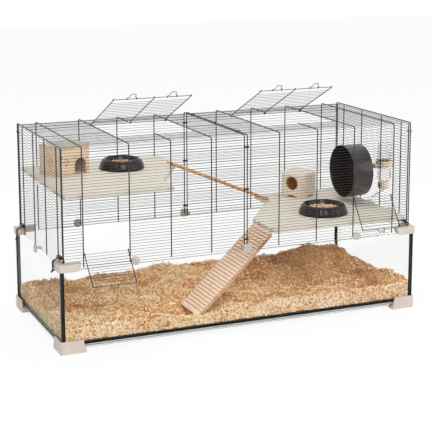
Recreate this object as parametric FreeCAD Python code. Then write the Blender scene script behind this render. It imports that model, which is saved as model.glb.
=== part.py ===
import FreeCAD, Part
import math
import os
from FreeCAD import Vector as V

# Rodent cage: glass tank below, hinged wire top above, fitted out with shelves,
# ramp, wheel, hiding places, bowls, perch, bottle and bedding.
# Millimetres, +X along the length, front towards -Y, +Z up, floor at z = 0.
# Drawn about the middle of the tank, then moved so that the whole box with its
# open doors and its bottle is centred over the origin.
origin_x = 15.05
origin_y = -26.7

# Glass tank
tank_length = 1000.0
tank_depth = 435.0
glass = 5.0
glass_bottom = 12.0
glass_top = 213.0
floor_bottom = 14.0
seal_top = 28.0
seal_width = 5.0
corner_seal = 6.0
half_x = tank_length / 2
half_y = tank_depth / 2

# Corner mouldings
shell_out = 4.5
foot_height = 33.0
foot_leg = 68.0
foot_slope = 9.0
foot_width = 24.0
cap_bottom = glass_top - 4.0
cap_top = glass_top + 15.5
cap_leg_x = 60.0
cap_leg_y = 54.0
cap_slope = 9.0
cap_width = 20.0
round_corner = 6.0

# Wire top
row_pitch = 7.33
row_first = glass_top + 3.5
thin = 0.5
thick = 1.5
door_wire = 1.2
edge_wire = 0.9
latch_wire = 0.8
net_inset = 8.9
roof_z = 515.2
bend = 4.5
middle_gap = 4.0
end_inset = 11.8
corner_bay = 51.2
door_bay = 121.0
roof_bay = 110.3
upright_bottom = glass_top + 1.5
row_past = 2.5
row_end = 1.4
side_inset = 12.5
side_bay = 55.0
side_corner_bay = 39.0
side_end_inset = 16.9
side_row_past = 3.5
side_top = roof_z - 3.2
roof_open_front = -13.5
roof_open_back = 14.5

net_front = half_y - net_inset
row_y = net_front - thick - thin
row_count = int((roof_z - bend - thin - 0.3 * thick - row_first) / row_pitch) + 1
roof_pitch = 2 * row_pitch
roof_row_z = roof_z - thick - thin
end_x = half_x - end_inset
door_far = end_x - corner_bay
door_near = door_far - door_bay
roof_far = door_near
roof_mid = roof_far - roof_bay
roof_near = roof_mid - roof_bay
upright_x = (middle_gap, roof_near, roof_mid, roof_far, door_far, end_x)
side_x = half_x - side_inset
side_row_x = side_x + thick + thin
side_end_y = half_y - side_end_inset
side_far_y = side_end_y - side_corner_bay
side_upright_y = (side_bay, side_far_y)
side_row_end = side_end_y + side_row_past
hinge_y = roof_open_back * row_pitch
open_y = roof_open_front * row_pitch
roof_margin = bend + 1.0
roof_behind = int((net_front - roof_margin - hinge_y) / roof_pitch)
roof_ahead = int((net_front - roof_margin + hinge_y) / roof_pitch)
middle_row = row_count // 2 + 1

# Doors
front_hinge_row = (4, 14)
front_open_rows = 11
front_door_rise = 92.0
front_open_angle = (135.0, 145.0)
roof_open_angle = 25.0
roof_door_reach = 212.0
roof_latch_rise = 20.0
door_jog = 2.9
eye_axis = door_wire + thin + 0.7
side_gap = 4.0

# Shelves, set in from the walls
shelf_plate = 3.0
shelf_skirt = 10.0
shelf_wall = 2.5
shelf_rows = (24, 5)
shelf_end_gap = 17.0
shelf_side_gap = 14.5
shelf_long = 400.0
shelf_short = (293.0, 271.0)
shelf_long_edge = 130.0
shelf_short_edge = 86.0
shelf_end = half_x - shelf_end_gap
shelf_side = half_y - shelf_side_gap
shelf_inner = shelf_end - shelf_long
shelf_step = [shelf_end - short for short in shelf_short]
tab_wide = 28.0
tab_spread = 110.0
tab_gap = 1.4
tab_lip = 2.6

# Ramp
ramp_pitch = 43.4
ramp_long = 292.0
ramp_thick = 9.0
ramp_wide = 116.0
ramp_grooves = 28
ramp_gap = 4.5
ramp_near = -half_y + 16.5
ramp_far = ramp_near + ramp_wide
hook_inset = 19.0
hook_wide = 10.0
hook_thick = 2.5
slot_wide = 7.0
slot_clear = 2.0
hook_y = (ramp_near + hook_inset, ramp_far - hook_inset)

# Wheel
wheel_depth = 62.0
wheel_radius = 75.0
wheel_wall = 3.0
wheel_lift = 14.5
wheel_y = 20.0
wheel_x0 = half_x - 94.5
axle_radius = 3.0
axle_clear = 0.05
stand_thick = 8.0
stand_gap = 4.0
stand_past = 2.5
stand_half = 24.0

# Bedding
bedding_deep = 62.0

# House, hide, bowls, perch and bottle
house_wide = 102.0
house_deep = 82.0
house_tall = 73.0
ply = 6.0
house_x = -half_x + 75.0
house_y = half_y - 197.5
house_turn = 25.5
hide_size = 82.0
hide_tall = 72.0
hide_wall = 9.0
hide_hole = 20.0
hide_x = half_x - 179.5
hide_y = half_y - 124.0
hide_turn = 32.0
hide_hole_z = 41.0
bowl_radius = (61.5, 68.5)
bowl_height = 27.0
perch_radius = 5.0
perch_left_y = 40.0
perch_right_y = 110.0
perch_overhang = 20.0
perch_landing = 4.0
bottle_radius = 21.5
bottle_tall = 118.0
bottle_gap = 17.5
bottle_x = half_x + bottle_gap
bottle_y = -26.0
seat = 0.3


def row_z(k):
    return row_first + row_pitch * k


def box(x0, x1, y0, y1, z0, z1):
    low = V(min(x0, x1), min(y0, y1), min(z0, z1))
    return Part.makeBox(abs(x1 - x0), abs(y1 - y0), abs(z1 - z0), low)


def plate(points):
    return Part.Face(Part.makePolygon(list(points) + [points[0]]))


def ring_solid(first, last):
    count = len(first)
    faces = [plate(list(reversed(first))), plate(last)]
    for i in range(count):
        j = (i + 1) % count
        faces.append(plate([first[i], first[j], last[j], last[i]]))
    shell = Part.Shell(faces)
    shell.sewShape()
    solid = Part.Solid(shell)
    if solid.Volume < 0:
        solid.reverse()
    return solid


def ngon(radius, sides, start):
    corner = radius / math.cos(math.pi / sides)
    turns = [math.radians(start + 360.0 / sides * k) for k in range(sides)]
    return [(corner * math.cos(t), corner * math.sin(t)) for t in turns]


# Drawn section of a wire: six flats on the main uprights, four on the thinner wires
def section(radius):
    return ngon(radius, 6, 30) if radius >= thick else ngon(radius, 4, 45)


# One wire as straight runs with mitred bends; flats face along the bend plane.
def wire(points, normal, radius):
    count = len(points)
    runs = count - 1
    ways = []
    for i in range(runs):
        way = points[i + 1] - points[i]
        way.normalize()
        ways.append(way)
    rings = []
    for i in range(count):
        before, after = ways[max(i - 1, 0)], ways[min(i, runs - 1)]
        m0 = normal.cross(before)
        m = m0 + normal.cross(after)
        m.normalize()
        grow = 1 / m.dot(m0)
        rings.append([points[i] + m * (a * grow) + normal * b for a, b in section(radius)])
    return [ring_solid(rings[i], rings[i + 1]) for i in range(runs)]


def straight(start, end, normal, radius):
    way = end - start
    unit = V(way)
    unit.normalize()
    m = normal.cross(unit)
    return plate([start + m * a + normal * b for a, b in section(radius)]).extrude(way)


def rounded(points, radii):
    edges = []
    count = len(points)
    cuts = []
    for i in range(count):
        p, q, n = points[i - 1], points[i], points[(i + 1) % count]
        a, b = p - q, n - q
        a.normalize()
        b.normalize()
        turn = math.acos(max(-1, min(1, a.dot(b))))
        reach = radii[i] / math.tan(turn / 2)
        mid = a + b
        mid.normalize()
        centre = q + mid * (radii[i] / math.sin(turn / 2))
        cuts.append((q + a * reach, centre - mid * radii[i], q + b * reach))
    for i in range(count):
        start, middle, end = cuts[i]
        edges.append(Part.Arc(start, middle, end).toShape())
        following = cuts[(i + 1) % count][0]
        if (following - end).Length > 1e-6:
            edges.append(Part.makeLine(end, following))
    return Part.Face(Part.Wire(edges))


# A convex stack of many-sided rings, for round pieces without a running fit
def stack(levels, centre, sides):
    body = None
    rings = [[centre + V(a, b, z) for a, b in ngon(r, sides, 0)] for r, z in levels]
    for low, high in zip(rings, rings[1:]):
        layer = ring_solid(low, high)
        body = layer if body is None else body.fuse(layer)
    return body.removeSplitter()


def polygon_prism(x, y, z, radius, sides, long):
    return plate([V(x, y + a, z + b) for a, b in ngon(radius, sides, 0)]).extrude(V(long, 0, 0))


os.makedirs("parts", exist_ok=True)


def save(name, shapes):
    shape = shapes[0] if len(shapes) == 1 else Part.makeCompound(shapes)
    shape = shape.translated(V(-origin_x, -origin_y, 0))
    shape.exportStep("parts/" + name + ".step")


# Glass panes: front and back run the full length, the sides stand between them
inner_x = half_x - glass
inner_y = half_y - glass
for name, sign in (("front", -1), ("back", 1)):
    pane = box(-half_x, half_x, sign * inner_y, sign * half_y, glass_bottom, glass_top)
    save("glass_" + name, [pane])
for name, sign in (("left", -1), ("right", 1)):
    pane = box(sign * inner_x, sign * half_x, -inner_y, inner_y, glass_bottom, glass_top)
    save("glass_" + name, [pane])
floor_top = floor_bottom + glass
save("glass_floor", [box(-inner_x, inner_x, -inner_y, inner_y, floor_bottom, floor_top)])

# Black silicone along the base and up the inside corners
seals = []
for sign in (-1, 1):
    edge = inner_y - seal_width
    seals.append(box(-inner_x, inner_x, sign * edge, sign * inner_y, floor_top, seal_top))
    seals.append(box(sign * (inner_x - seal_width), sign * inner_x, -edge, edge, floor_top, seal_top))
save("base_seal", seals)
seals = []
for sx in (-1, 1):
    for sy in (-1, 1):
        corner = [
            V(sx * inner_x, sy * inner_y, seal_top),
            V(sx * (inner_x - corner_seal), sy * inner_y, seal_top),
            V(sx * inner_x, sy * (inner_y - corner_seal), seal_top),
        ]
        seals.append(plate(corner).extrude(V(0, 0, glass_top - 1 - seal_top)))
save("corner_seals", seals)


# Corner mouldings: an L in plan with sloped ends, cupping the glass corner
def corner_moulding(sx, sy, low, high, legs, widths, slope_low, slope_high, pocket):
    out_x, out_y = half_x + shell_out, half_y + shell_out
    leg_x, leg_y = legs
    along_x = [
        V(sx * out_x, 0, low),
        V(sx * (out_x - leg_x + slope_low), 0, low),
        V(sx * (out_x - leg_x + slope_high), 0, high),
        V(sx * out_x, 0, high),
    ]
    along_y = [
        V(0, sy * out_y, low),
        V(0, sy * (out_y - leg_y + slope_low), low),
        V(0, sy * (out_y - leg_y + slope_high), high),
        V(0, sy * out_y, high),
    ]
    arm_x = plate(along_x).extrude(V(0, sy * widths, 0))
    arm_x.translate(V(0, sy * (out_y - widths), 0))
    arm_y = plate(along_y).extrude(V(sx * widths, 0, 0))
    arm_y.translate(V(sx * (out_x - widths), 0, 0))
    body = arm_x.fuse(arm_y).removeSplitter()
    outer = []
    for e in body.Edges:
        mid = e.CenterOfMass
        if abs(abs(mid.x) - out_x) < 0.01 and abs(abs(mid.y) - out_y) < 0.01:
            outer.append(e)
    body = body.makeFillet(round_corner, outer)
    return body.cut(box(-half_x, half_x, -half_y, half_y, pocket[0], pocket[1]))


corners = {
    "front_left": (-1, -1),
    "front_right": (1, -1),
    "back_left": (-1, 1),
    "back_right": (1, 1),
}
for name, (sx, sy) in corners.items():
    legs = (foot_leg, foot_leg)
    foot = corner_moulding(
        sx, sy, 0, foot_height, legs, foot_width, 0, foot_slope, (glass_bottom, foot_height + 1)
    )
    save("foot_" + name, [foot])
    legs = (cap_leg_x, cap_leg_y)
    cap = corner_moulding(
        sx, sy, cap_bottom, cap_top, legs, cap_width, cap_slope, 0, (cap_bottom - 1, glass_top)
    )
    save("cap_" + name, [cap])


# Rim clips: a round pad outside the glass, a neck over the lowest wire, a lip inside
pad_radius = 11.2


def rim_clip(wide, necks):
    top, bottom = row_z(1) - thin - 0.45, row_z(0) + thin + 0.25
    pad_in, pad_out = half_y + 0.4, half_y + 5.0
    mid = row_z(0) + 3.5
    if wide > 20:
        pad = box(-wide / 2, wide / 2, -pad_out, -pad_in, mid - pad_radius, mid + pad_radius)
        pad = pad.makeChamfer(4, [e for e in pad.Edges if abs(e.tangentAt(0).y) > 0.9])
    else:
        disc = plate([V(a, -pad_out, mid + b) for a, b in ngon(pad_radius, 14, 0)])
        pad = disc.extrude(V(0, pad_out - pad_in, 0))
    for x in necks:
        pad = pad.fuse(box(x - 3, x + 3, -pad_in - 1, -row_y + thin + 2.05, bottom, top))
        pad = pad.fuse(box(x - 3, x + 3, -row_y + thin + 0.35, -row_y + thin + 2.05, glass_top + 0.6, top))
    return pad.removeSplitter()


clips = []
rim_x = door_near - 9.5
lip_near, lip_far = side_row_x - thin - 0.3, side_row_x - thin - 2.3
single = rim_clip(20, (0,))
double = rim_clip(24, (-9, 9))
for turn in (0, 180):
    for x, kind in ((-rim_x, single), (0, double), (door_near + 5.6, single)):
        clip = kind.copy()
        clip.translate(V(x, 0, 0))
        clip.rotate(V(0, 0, 0), V(0, 0, 1), turn)
        clips.append(clip)
for turn in (-90, 90):
    clip = rim_clip(20, ())
    clip.translate(V(0, half_y - half_x, 0))
    clip.rotate(V(0, 0, 0), V(0, 0, 1), turn)
    sign = -1 if turn < 0 else 1
    top, bottom = row_z(1) - thin - 0.45, row_z(0) + thin + 0.25
    clip = clip.fuse(box(sign * (half_x + 1), sign * lip_far, -3, 3, bottom, top))
    clip = clip.fuse(box(sign * lip_near, sign * lip_far, -3, 3, glass_top + 0.6, top))
    clips.append(clip.removeSplitter())
save("rim_clips", clips)

# Wire top: two inverted U nets that meet in the middle
away_x = V(1, 0, 0)
away_z = V(0, 0, 1)


def bend_points(x, sign):
    y, z = sign * net_front, roof_z
    out = []
    for t in (0, 45, 90):
        dy = bend * (1 - math.cos(math.radians(t)))
        dz = bend * (1 - math.sin(math.radians(t)))
        out.append(V(x, y - sign * dy, z - dz))
    return out


def upright_runs(x):
    low = cap_top if abs(x) > door_far + 1 else upright_bottom
    front = [V(x, -net_front, low)] + bend_points(x, -1)
    back = list(reversed(bend_points(x, 1))) + [V(x, net_front, low)]
    if abs(abs(x) - roof_mid) < 0.1:
        ends = (V(x, open_y + row_past, roof_z), V(x, hinge_y + 6, roof_z))
        return wire(front + [ends[0]], away_x, thick) + wire([ends[1]] + back, away_x, thick)
    return wire(front + back, away_x, thick)


row_start = middle_gap - thick - 0.9


def wall_row_spans(k, side_index, front):
    outer = (end_x if row_z(k) > cap_top else door_far) + row_past
    hinge = front_hinge_row[side_index]
    if front and hinge < k < hinge + front_open_rows:
        return ((row_start, door_near + row_end), (door_far - row_end, outer))
    return ((row_start, outer),)


def net_rows(sx, side_index):
    rows = []
    for k in range(row_count):
        for y in (-row_y, row_y):
            for a, b in wall_row_spans(k, side_index, y < 0):
                ends = (V(sx * a, y, row_z(k)), V(sx * b, y, row_z(k)))
                rows.append(straight(ends[0], ends[1], away_z, thin))
    for j in range(-roof_behind, roof_ahead + 1):
        y = hinge_y - j * roof_pitch
        spans = ((row_start, end_x + row_past),)
        if open_y + 1 < y < hinge_y - 1:
            spans = ((row_start, roof_near + row_end), (roof_far - row_end, end_x + row_past))
        for a, b in spans:
            ends = (V(sx * a, y, roof_row_z), V(sx * b, y, roof_row_z))
            rows.append(straight(ends[0], ends[1], V(0, 1, 0), thin))
    return rows


nets = (("left", -1, 0), ("right", 1, 1))
for name, sx, index in nets:
    runs = []
    for x in upright_x:
        runs += upright_runs(sx * x)
    save(name + "_net_uprights", runs)
    save(name + "_net_wires", net_rows(sx, index))

# Side panels close the two ends of the nets
for name, sx, index in nets:
    runs = []
    stands = [(y, upright_bottom) for y in side_upright_y] + [(side_end_y, cap_top)]
    for y, low in stands:
        for sy in (-1, 1):
            ends = (V(sx * side_x, sy * y, low), V(sx * side_x, sy * y, side_top))
            runs.append(straight(ends[0], ends[1], V(0, 1, 0), thick))
    for k in range(row_count):
        reach = side_row_end if row_z(k) > cap_top else side_far_y + 2.6
        ends = (V(sx * side_row_x, -reach, row_z(k)), V(sx * side_row_x, reach, row_z(k)))
        runs.append(straight(ends[0], ends[1], away_z, thin))
    save(name + "_side_panel", runs)


# Black clips that join the nets in the middle and at the corners, pressed on from outside
clips = []
outer = net_front + thick
for k in (3, middle_row, row_count - 5):
    z = row_z(k + 0.5)
    for sign in (-1, 1):
        clips.append(box(-7.5, 7.5, sign * outer, sign * (outer + 2.2), z - 2.5, z + 2.5))
for j in (-21, 0, 21):
    y = j * row_pitch
    clips.append(box(-7.5, 7.5, y - 2.5, y + 2.5, roof_z + thick, roof_z + thick + 2.2))
save("joint_clips", clips)
clips = []
for sx in (-1, 1):
    for sy in (-1, 1):
        for k in (2, row_count - 4):
            z = row_z(k + 0.5)
            tall = (z - 1.6, z + 1.6)
            wide = (sx * (end_x - 3.0), sx * (end_x + 3.0))
            clips.append(box(*wide, sy * outer, sy * (outer + 1.4), *tall))
            wide = (sx * (side_x - thick - 1.4), sx * (side_x - thick))
            clips.append(box(*wide, sy * (side_end_y - 3.5), sy * (side_end_y + 3.8), *tall))
save("corner_clips", clips)


# Door frame: u runs from the hinge wire to the free edge, w points outward when shut
class DoorFrame:
    def __init__(self, y, z, u, w):
        self.hinge = V(0, y, z)
        self.u = u
        self.w = w

    def at(self, x, u, w):
        return self.hinge + V(x, 0, 0) + self.u * u + self.w * w


def eye(frame, x, u, w, axis, start, corners):
    points = []
    for k in range(corners):
        t = math.radians(start + 60 * k)
        reach = axis / math.cos(math.pi / 6)
        points.append(frame.at(x, u + reach * math.cos(t), w + reach * math.sin(t)))
    return points


def door_side(frame, x, reach, tip):
    points = [frame.at(x, u, w) for u, w in tip]
    points += [frame.at(x, reach, door_jog), frame.at(x, 11.0, door_jog), frame.at(x, 6.0, 0)]
    return wire(points + eye(frame, x, 0, 0, eye_axis, 0, 6), away_x, door_wire)


def latch(frame, x, u, w, shape):
    runs = []
    axis = edge_wire / math.cos(math.pi / 4) + 0.35 + latch_wire
    foot = axis + latch_wire
    span = abs(shape[0][0])
    for side in (-1, 1):
        runs += wire(eye(frame, x + side * span, u, w, axis, -30, 5), away_x, latch_wire)
    path = [frame.at(x + dx, u + foot + du, w) for dx, du in shape]
    return runs + wire(path, frame.w, latch_wire)


# Front doors hang open, outward and down
for name, sx, index in nets:
    open_to = math.radians(front_open_angle[index])
    u = V(0, -math.sin(open_to), math.cos(open_to))
    w = V(0, -math.cos(open_to), -math.sin(open_to))
    frame = DoorFrame(-row_y, row_z(front_hinge_row[index]), u, w)
    near, far = door_near + side_gap, door_far - side_gap
    runs = []
    for x in (near, far):
        runs += door_side(frame, sx * x, front_door_rise, ())
    level = door_jog + door_wire + thin
    for k in range(11):
        rise = 14.0 + k * row_pitch
        if rise > front_door_rise - row_pitch:
            break
        ends = (frame.at(sx * (near - 1.4), rise, level), frame.at(sx * (far + 1.4), rise, level))
        runs.append(straight(ends[0], ends[1], u, thin))
    level = door_jog + door_wire + edge_wire
    rise = front_door_rise - 1.2
    ends = (frame.at(sx * (near - 1.4), rise, level), frame.at(sx * (far + 1.4), rise, level))
    runs.append(straight(ends[0], ends[1], u, edge_wire))
    save(name + "_front_door", runs)
    shape = ((-9, 0), (-9, 2), (-6.5, 7), (0, 3), (6.5, 7), (9, 2), (9, 0))
    save(name + "_front_latch", latch(frame, sx * (near + far) / 2, rise, level, shape))

# Roof doors stand a little open, hinged at their back edge
for name, sx, index in nets:
    open_to = math.radians(roof_open_angle)
    u = V(0, -math.cos(open_to), math.sin(open_to))
    w = V(0, math.sin(open_to), math.cos(open_to))
    frame = DoorFrame(hinge_y, roof_row_z, u, w)
    near, far = roof_near + side_gap, roof_far - side_gap
    tip = ((roof_door_reach + 3.0, door_jog + 4.0),)
    runs = []
    for x in (near, roof_mid - side_gap, far):
        runs += door_side(frame, sx * x, roof_door_reach, tip)
    level = door_jog - door_wire - thin
    for k in range(40):
        rise = 14.0 + k * roof_pitch
        if rise > hinge_y - open_y - 4:
            break
        ends = (frame.at(sx * (near - 1.2), rise, level), frame.at(sx * (far + 1.2), rise, level))
        runs.append(straight(ends[0], ends[1], u, thin))
    level = door_jog + door_wire + edge_wire
    rise = roof_door_reach - 4
    ends = (frame.at(sx * (near - 1.2), rise, level), frame.at(sx * (far + 1.2), rise, level))
    runs.append(straight(ends[0], ends[1], u, edge_wire))
    save(name + "_roof_door", runs)
    half = ((13, 0), (13, 2), (7, 4), (8, 13), (5, 17))
    shape = [(-dx, du) for dx, du in half] + list(reversed(half))
    pair = []
    lean = math.radians(roof_latch_rise)
    edge = frame.at(0, rise, level)
    up, out = u * math.cos(lean) + w * math.sin(lean), w * math.cos(lean) - u * math.sin(lean)
    stood = DoorFrame(edge.y, edge.z, up, out)
    for x in (roof_mid - roof_bay / 2, roof_mid + roof_bay / 2):
        pair += latch(stood, sx * x, 0, 0, shape)
    save(name + "_roof_latches", pair)


# Corner levers: a barrel on a side wire, an arm over the cap, a hook under its skirt
lever_barrel = 4.4


def lever(sx, sy):
    px, pz = side_row_x, row_z(3)
    face = half_x + shell_out + 0.8
    foot = cap_bottom - 1.3
    outline = [
        (px + 2.2, pz + 3.0),
        (px - 2.6, pz + 3.0),
        (px - 2.6, pz - 3.0),
        (px + 2.6, pz - 3.0),
        (face, cap_top + 1.0),
        (face, foot),
        (face - 3.0, foot),
        (face - 3.0, foot - 2.6),
        (face + 1.0, foot - 2.6),
        (face + 4.4, foot - 7.0),
        (face + 6.6, foot - 6.0),
        (face + 2.8, foot + 1.0),
        (face + 2.8, cap_top + 2.0),
        (px + 4.6, pz - 1.0),
    ]
    mid = sy * (half_y + shell_out - cap_leg_y + 8.0)
    body = plate([V(sx * x, mid - 2.5, z) for x, z in outline]).extrude(V(0, 5, 0))
    start, long = mid - 13 + 3 * sy, V(0, 26, 0)
    barrel = plate([V(sx * px + a, start, pz + b) for a, b in ngon(lever_barrel, 8, 22.5)])
    bore = plate([V(sx * px + a, start, pz + b) for a, b in ngon(thin + 0.7, 8, 22.5)])
    return body.fuse(barrel.extrude(long)).cut(bore.extrude(long)).removeSplitter()


for name, (sx, sy) in corners.items():
    save("lever_" + name, [lever(sx, sy)])


# Shelves: nearly the same moulding twice, the left one turned half round
def shelf_outline(inset, step):
    points = [
        (shelf_end, -shelf_side),
        (shelf_inner, -shelf_side),
        (shelf_inner, -shelf_side + shelf_long_edge),
        (step, shelf_side - shelf_short_edge),
        (step, shelf_side),
        (shelf_end, shelf_side),
    ]
    face = rounded([V(x, y, 0) for x, y in points], (8, 10, 14, 14, 10, 8))
    return face.makeOffset2D(-inset) if inset else face


slot_x = shelf_inner + 5.0


def shelf(step):
    body = shelf_outline(0, step).extrude(V(0, 0, shelf_skirt))
    hollow = shelf_outline(shelf_wall, step).extrude(V(0, 0, shelf_skirt - shelf_plate))
    body = body.cut(hollow)
    deck = shelf_skirt - shelf_plate
    near = side_row_x + thin + tab_gap
    far = near + tab_lip
    for y in (-tab_spread, 0, tab_spread):
        wide = (y - tab_wide / 2, y + tab_wide / 2)
        body = body.fuse(box(shelf_end - 10.5, far, *wide, deck, shelf_skirt))
        body = body.fuse(box(near, far, *wide, deck - 6, shelf_skirt))
    for y in hook_y:
        wide = (y - hook_wide / 2 - slot_clear, y + hook_wide / 2 + slot_clear)
        body = body.cut(box(slot_x, slot_x + slot_wide, *wide, -1, shelf_skirt + 1))
    return body.removeSplitter()


shelf_top = [row_z(k) + thin + 0.25 + shelf_plate for k in shelf_rows]
left, right = (shelf(step) for step in shelf_step)
left.rotate(V(0, 0, 0), V(0, 0, 1), 180)
left.translate(V(0, 0, shelf_top[0] - shelf_skirt))
right.translate(V(0, 0, shelf_top[1] - shelf_skirt))
save("left_shelf", [left])
save("right_shelf", [right])

# Ramp: grooved board with two hooks over the inner edge of the right shelf
slope = math.radians(ramp_pitch)
down = V(-math.cos(slope), 0, -math.sin(slope))
under = V(math.sin(slope), 0, -math.cos(slope))
head = V(shelf_inner - ramp_gap, ramp_near, shelf_top[1] - 7.0)
foot_point = head + down * ramp_long
outline = [head]
pitch = (ramp_long - 16) / ramp_grooves
for k in range(ramp_grooves):
    at = 10 + k * pitch
    for along, deep in ((at, 0), (at, 1.3), (at + 2.2, 1.3), (at + 2.2, 0)):
        outline.append(head + down * along + under * deep)
outline += [foot_point, foot_point + under * ramp_thick]
outline.append(V(head.x, ramp_near, head.z - ramp_thick / math.cos(slope)))
board = plate(outline).extrude(V(0, ramp_far - ramp_near, 0))
save("ramp_board", [board])
hooks = []
hook_far = slot_x + slot_wide - 1.5
for y in hook_y:
    low, high = shelf_top[1] + seat, shelf_top[1] + seat + hook_thick
    wide = (y - hook_wide / 2, y + hook_wide / 2)
    hook = box(head.x, head.x + hook_thick, *wide, low - 18.3, high)
    hook = hook.fuse(box(head.x, hook_far, *wide, low, high))
    hook = hook.fuse(box(hook_far - hook_thick, hook_far, *wide, low - 7.3, high))
    hooks.append(hook.removeSplitter())
save("ramp_hooks", hooks)

# Exercise wheel: open drum on a fixed axle, carried by a bracket hooked into the right side panel
deck = shelf_top[1]
wheel_z = deck + wheel_lift + wheel_radius
back_x = wheel_x0 + wheel_depth
along = V(1, 0, 0)
bore = axle_radius + axle_clear
drum = polygon_prism(wheel_x0, wheel_y, wheel_z, wheel_radius, 48, wheel_depth)
inside = polygon_prism(wheel_x0, wheel_y, wheel_z, wheel_radius - wheel_wall, 48, wheel_depth - 2.5)
drum = drum.cut(inside)
hub = polygon_prism(back_x - 16, wheel_y, wheel_z, 9, 16, 14)
drum = drum.fuse(hub)
drum = drum.cut(Part.makeCylinder(bore, 20, V(back_x - 18, wheel_y, wheel_z), along)).removeSplitter()
save("wheel_drum", [drum])
stand_x = back_x + stand_gap
axle_end = stand_x + stand_thick + stand_past
axle_start = V(back_x - 21, wheel_y, wheel_z)
shaft = Part.makeCylinder(axle_radius, axle_end - axle_start.x, axle_start, along)
knob = polygon_prism(back_x - 20.6, wheel_y, wheel_z, 5, 8, 4)
save("wheel_axle", [shaft.fuse(knob).removeSplitter()])
wide = (wheel_y - stand_half, wheel_y + stand_half)
post = box(stand_x, stand_x + stand_thick, *wide, wheel_z - 26, wheel_z + 26)
hold = row_z(int((wheel_z - row_first) / row_pitch) + 0.5)
half = row_pitch / 2 - thin - 0.7
lip = side_row_x + thin + 0.35
for y in (wheel_y - 15, wheel_y + 15):
    post = post.fuse(box(stand_x + 1, lip + 2, y - 5, y + 5, hold - half, hold + half))
    post = post.fuse(box(lip, lip + 2, y - 5, y + 5, hold - 9, hold + half))
post = post.cut(Part.makeCylinder(axle_radius, 40, V(stand_x - 12, wheel_y, wheel_z), along))
save("wheel_stand", [post.removeSplitter()])


# Wooden house on the left shelf
def placed(shape, x, y, z, turn):
    shape.rotate(V(0, 0, 0), V(0, 0, 1), turn)
    shape.translate(V(x, y, z))
    return shape


walls = box(0, house_wide, 0, house_deep, 0, house_tall)
walls = walls.cut(box(ply, house_wide - ply, ply, house_deep - ply, -1, house_tall + 1))
walls = walls.cut(box(51, 91, -1, ply + 1, -1, 22))
walls = walls.cut(Part.makeCylinder(20, ply + 2, V(71, -1, 22), V(0, 1, 0)))
for dx, dz in ((-7, 0), (7, 0), (0, -8), (0, 8)):
    vent = plate([V(21 + dx + a, -1, 37 + dz + b) for a, b in ngon(3.0, 8, 22.5)])
    walls = walls.cut(vent.extrude(V(0, ply + 2, 0)))
    vent = plate([V(-1, 42 + dx + a, 35 + dz + b) for a, b in ngon(3.0, 8, 22.5)])
    walls = walls.cut(vent.extrude(V(ply + 2, 0, 0)))
roof = box(-0.6, house_wide + 0.6, -0.6, house_deep + 0.6, house_tall, house_tall + ply)
house_at = (house_x, house_y, shelf_top[0], house_turn)
save("house_walls", [placed(walls, *house_at)])
save("house_roof", [placed(roof, *house_at)])

# Wooden hide on the right shelf, rounded block with a round way in
block = box(0, hide_size, 0, hide_size, 0, hide_tall)
rim = [e for e in block.Edges if abs(e.tangentAt(0).z) > 0.9]
block = block.makeFillet(18, rim)
rim = [e for e in block.Edges if abs(e.CenterOfMass.z - hide_tall) < 0.01]
block = block.makeFillet(9, rim)
far = hide_size - hide_wall
block = block.cut(box(hide_wall, far, hide_wall, far, -1, hide_tall - hide_wall))
block = block.cut(polygon_prism(-1, hide_size / 2, hide_hole_z, hide_hole, 24, hide_wall + 2))
arch = polygon_prism(-1, hide_size / 2, -24, 30, 24, hide_size + 2)
block = block.cut(arch)
arch.rotate(V(hide_size / 2, hide_size / 2, 0), V(0, 0, 1), 90)
block = block.cut(arch)
save("hide", [placed(block, hide_x, hide_y, shelf_top[1], hide_turn)])

# Feeding bowls, wide at the foot, each with a fill of mixed seed
def bowl(r, spot):
    outer = ((r, 0), (r - 0.5, 5), (r - 3, 14), (r - 7.5, bowl_height - 4.5), (r - 12, bowl_height))
    inner = ((r - 33, 6), (r - 26, 9), (r - 17.5, bowl_height + 0.5))
    return stack(outer, spot, 32).cut(stack(inner, spot, 32))


def seed_heap(r, spot):
    return stack(((r - 27, 10.0), (r - 26, 14.5), (r - 42, 19.0)), spot, 16)


bowl_spots = (
    V(-half_x + 262.0, half_y - 141.5, shelf_top[0]),
    V(half_x - 208.0, -half_y + 134.5, shelf_top[1]),
)
pairs = list(zip(bowl_radius, bowl_spots))
save("bowls", [bowl(r, spot) for r, spot in pairs])
save("seed_fill", [seed_heap(r, spot) for r, spot in pairs])

# Perch: a straight branch laid askew, over the left shelf's sloped edge and down to the right shelf
corner_y = shelf_side - shelf_long_edge
run = (shelf_step[0] - shelf_inner, shelf_side - shelf_short_edge + corner_y)
edge = V(-shelf_inner - run[0] * (corner_y - perch_left_y) / run[1], perch_left_y, shelf_top[0])
landing = V(shelf_step[1] + perch_landing, perch_right_y, 0)
flat = V(landing.x - edge.x, landing.y - edge.y, 0)
skew = flat.getAngle(V(run[0], run[1], 0))
fall = 0.4
for step in range(20):
    turn = math.atan(fall)
    across = math.cos(turn) * math.sin(skew)
    lift = (perch_radius + seat) * math.hypot(math.sin(turn), across) / across
    foot_z = shelf_top[1] + seat + perch_radius * math.cos(turn)
    fall = (edge.z + lift - foot_z) / flat.Length
low = V(landing.x, landing.y, foot_z)
share = 1 + perch_overhang / flat.Length
way = V(-flat.x * share, -flat.y * share, flat.Length * share * fall)
save("perch", [Part.makeCylinder(perch_radius, way.Length, low, way)])

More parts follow.
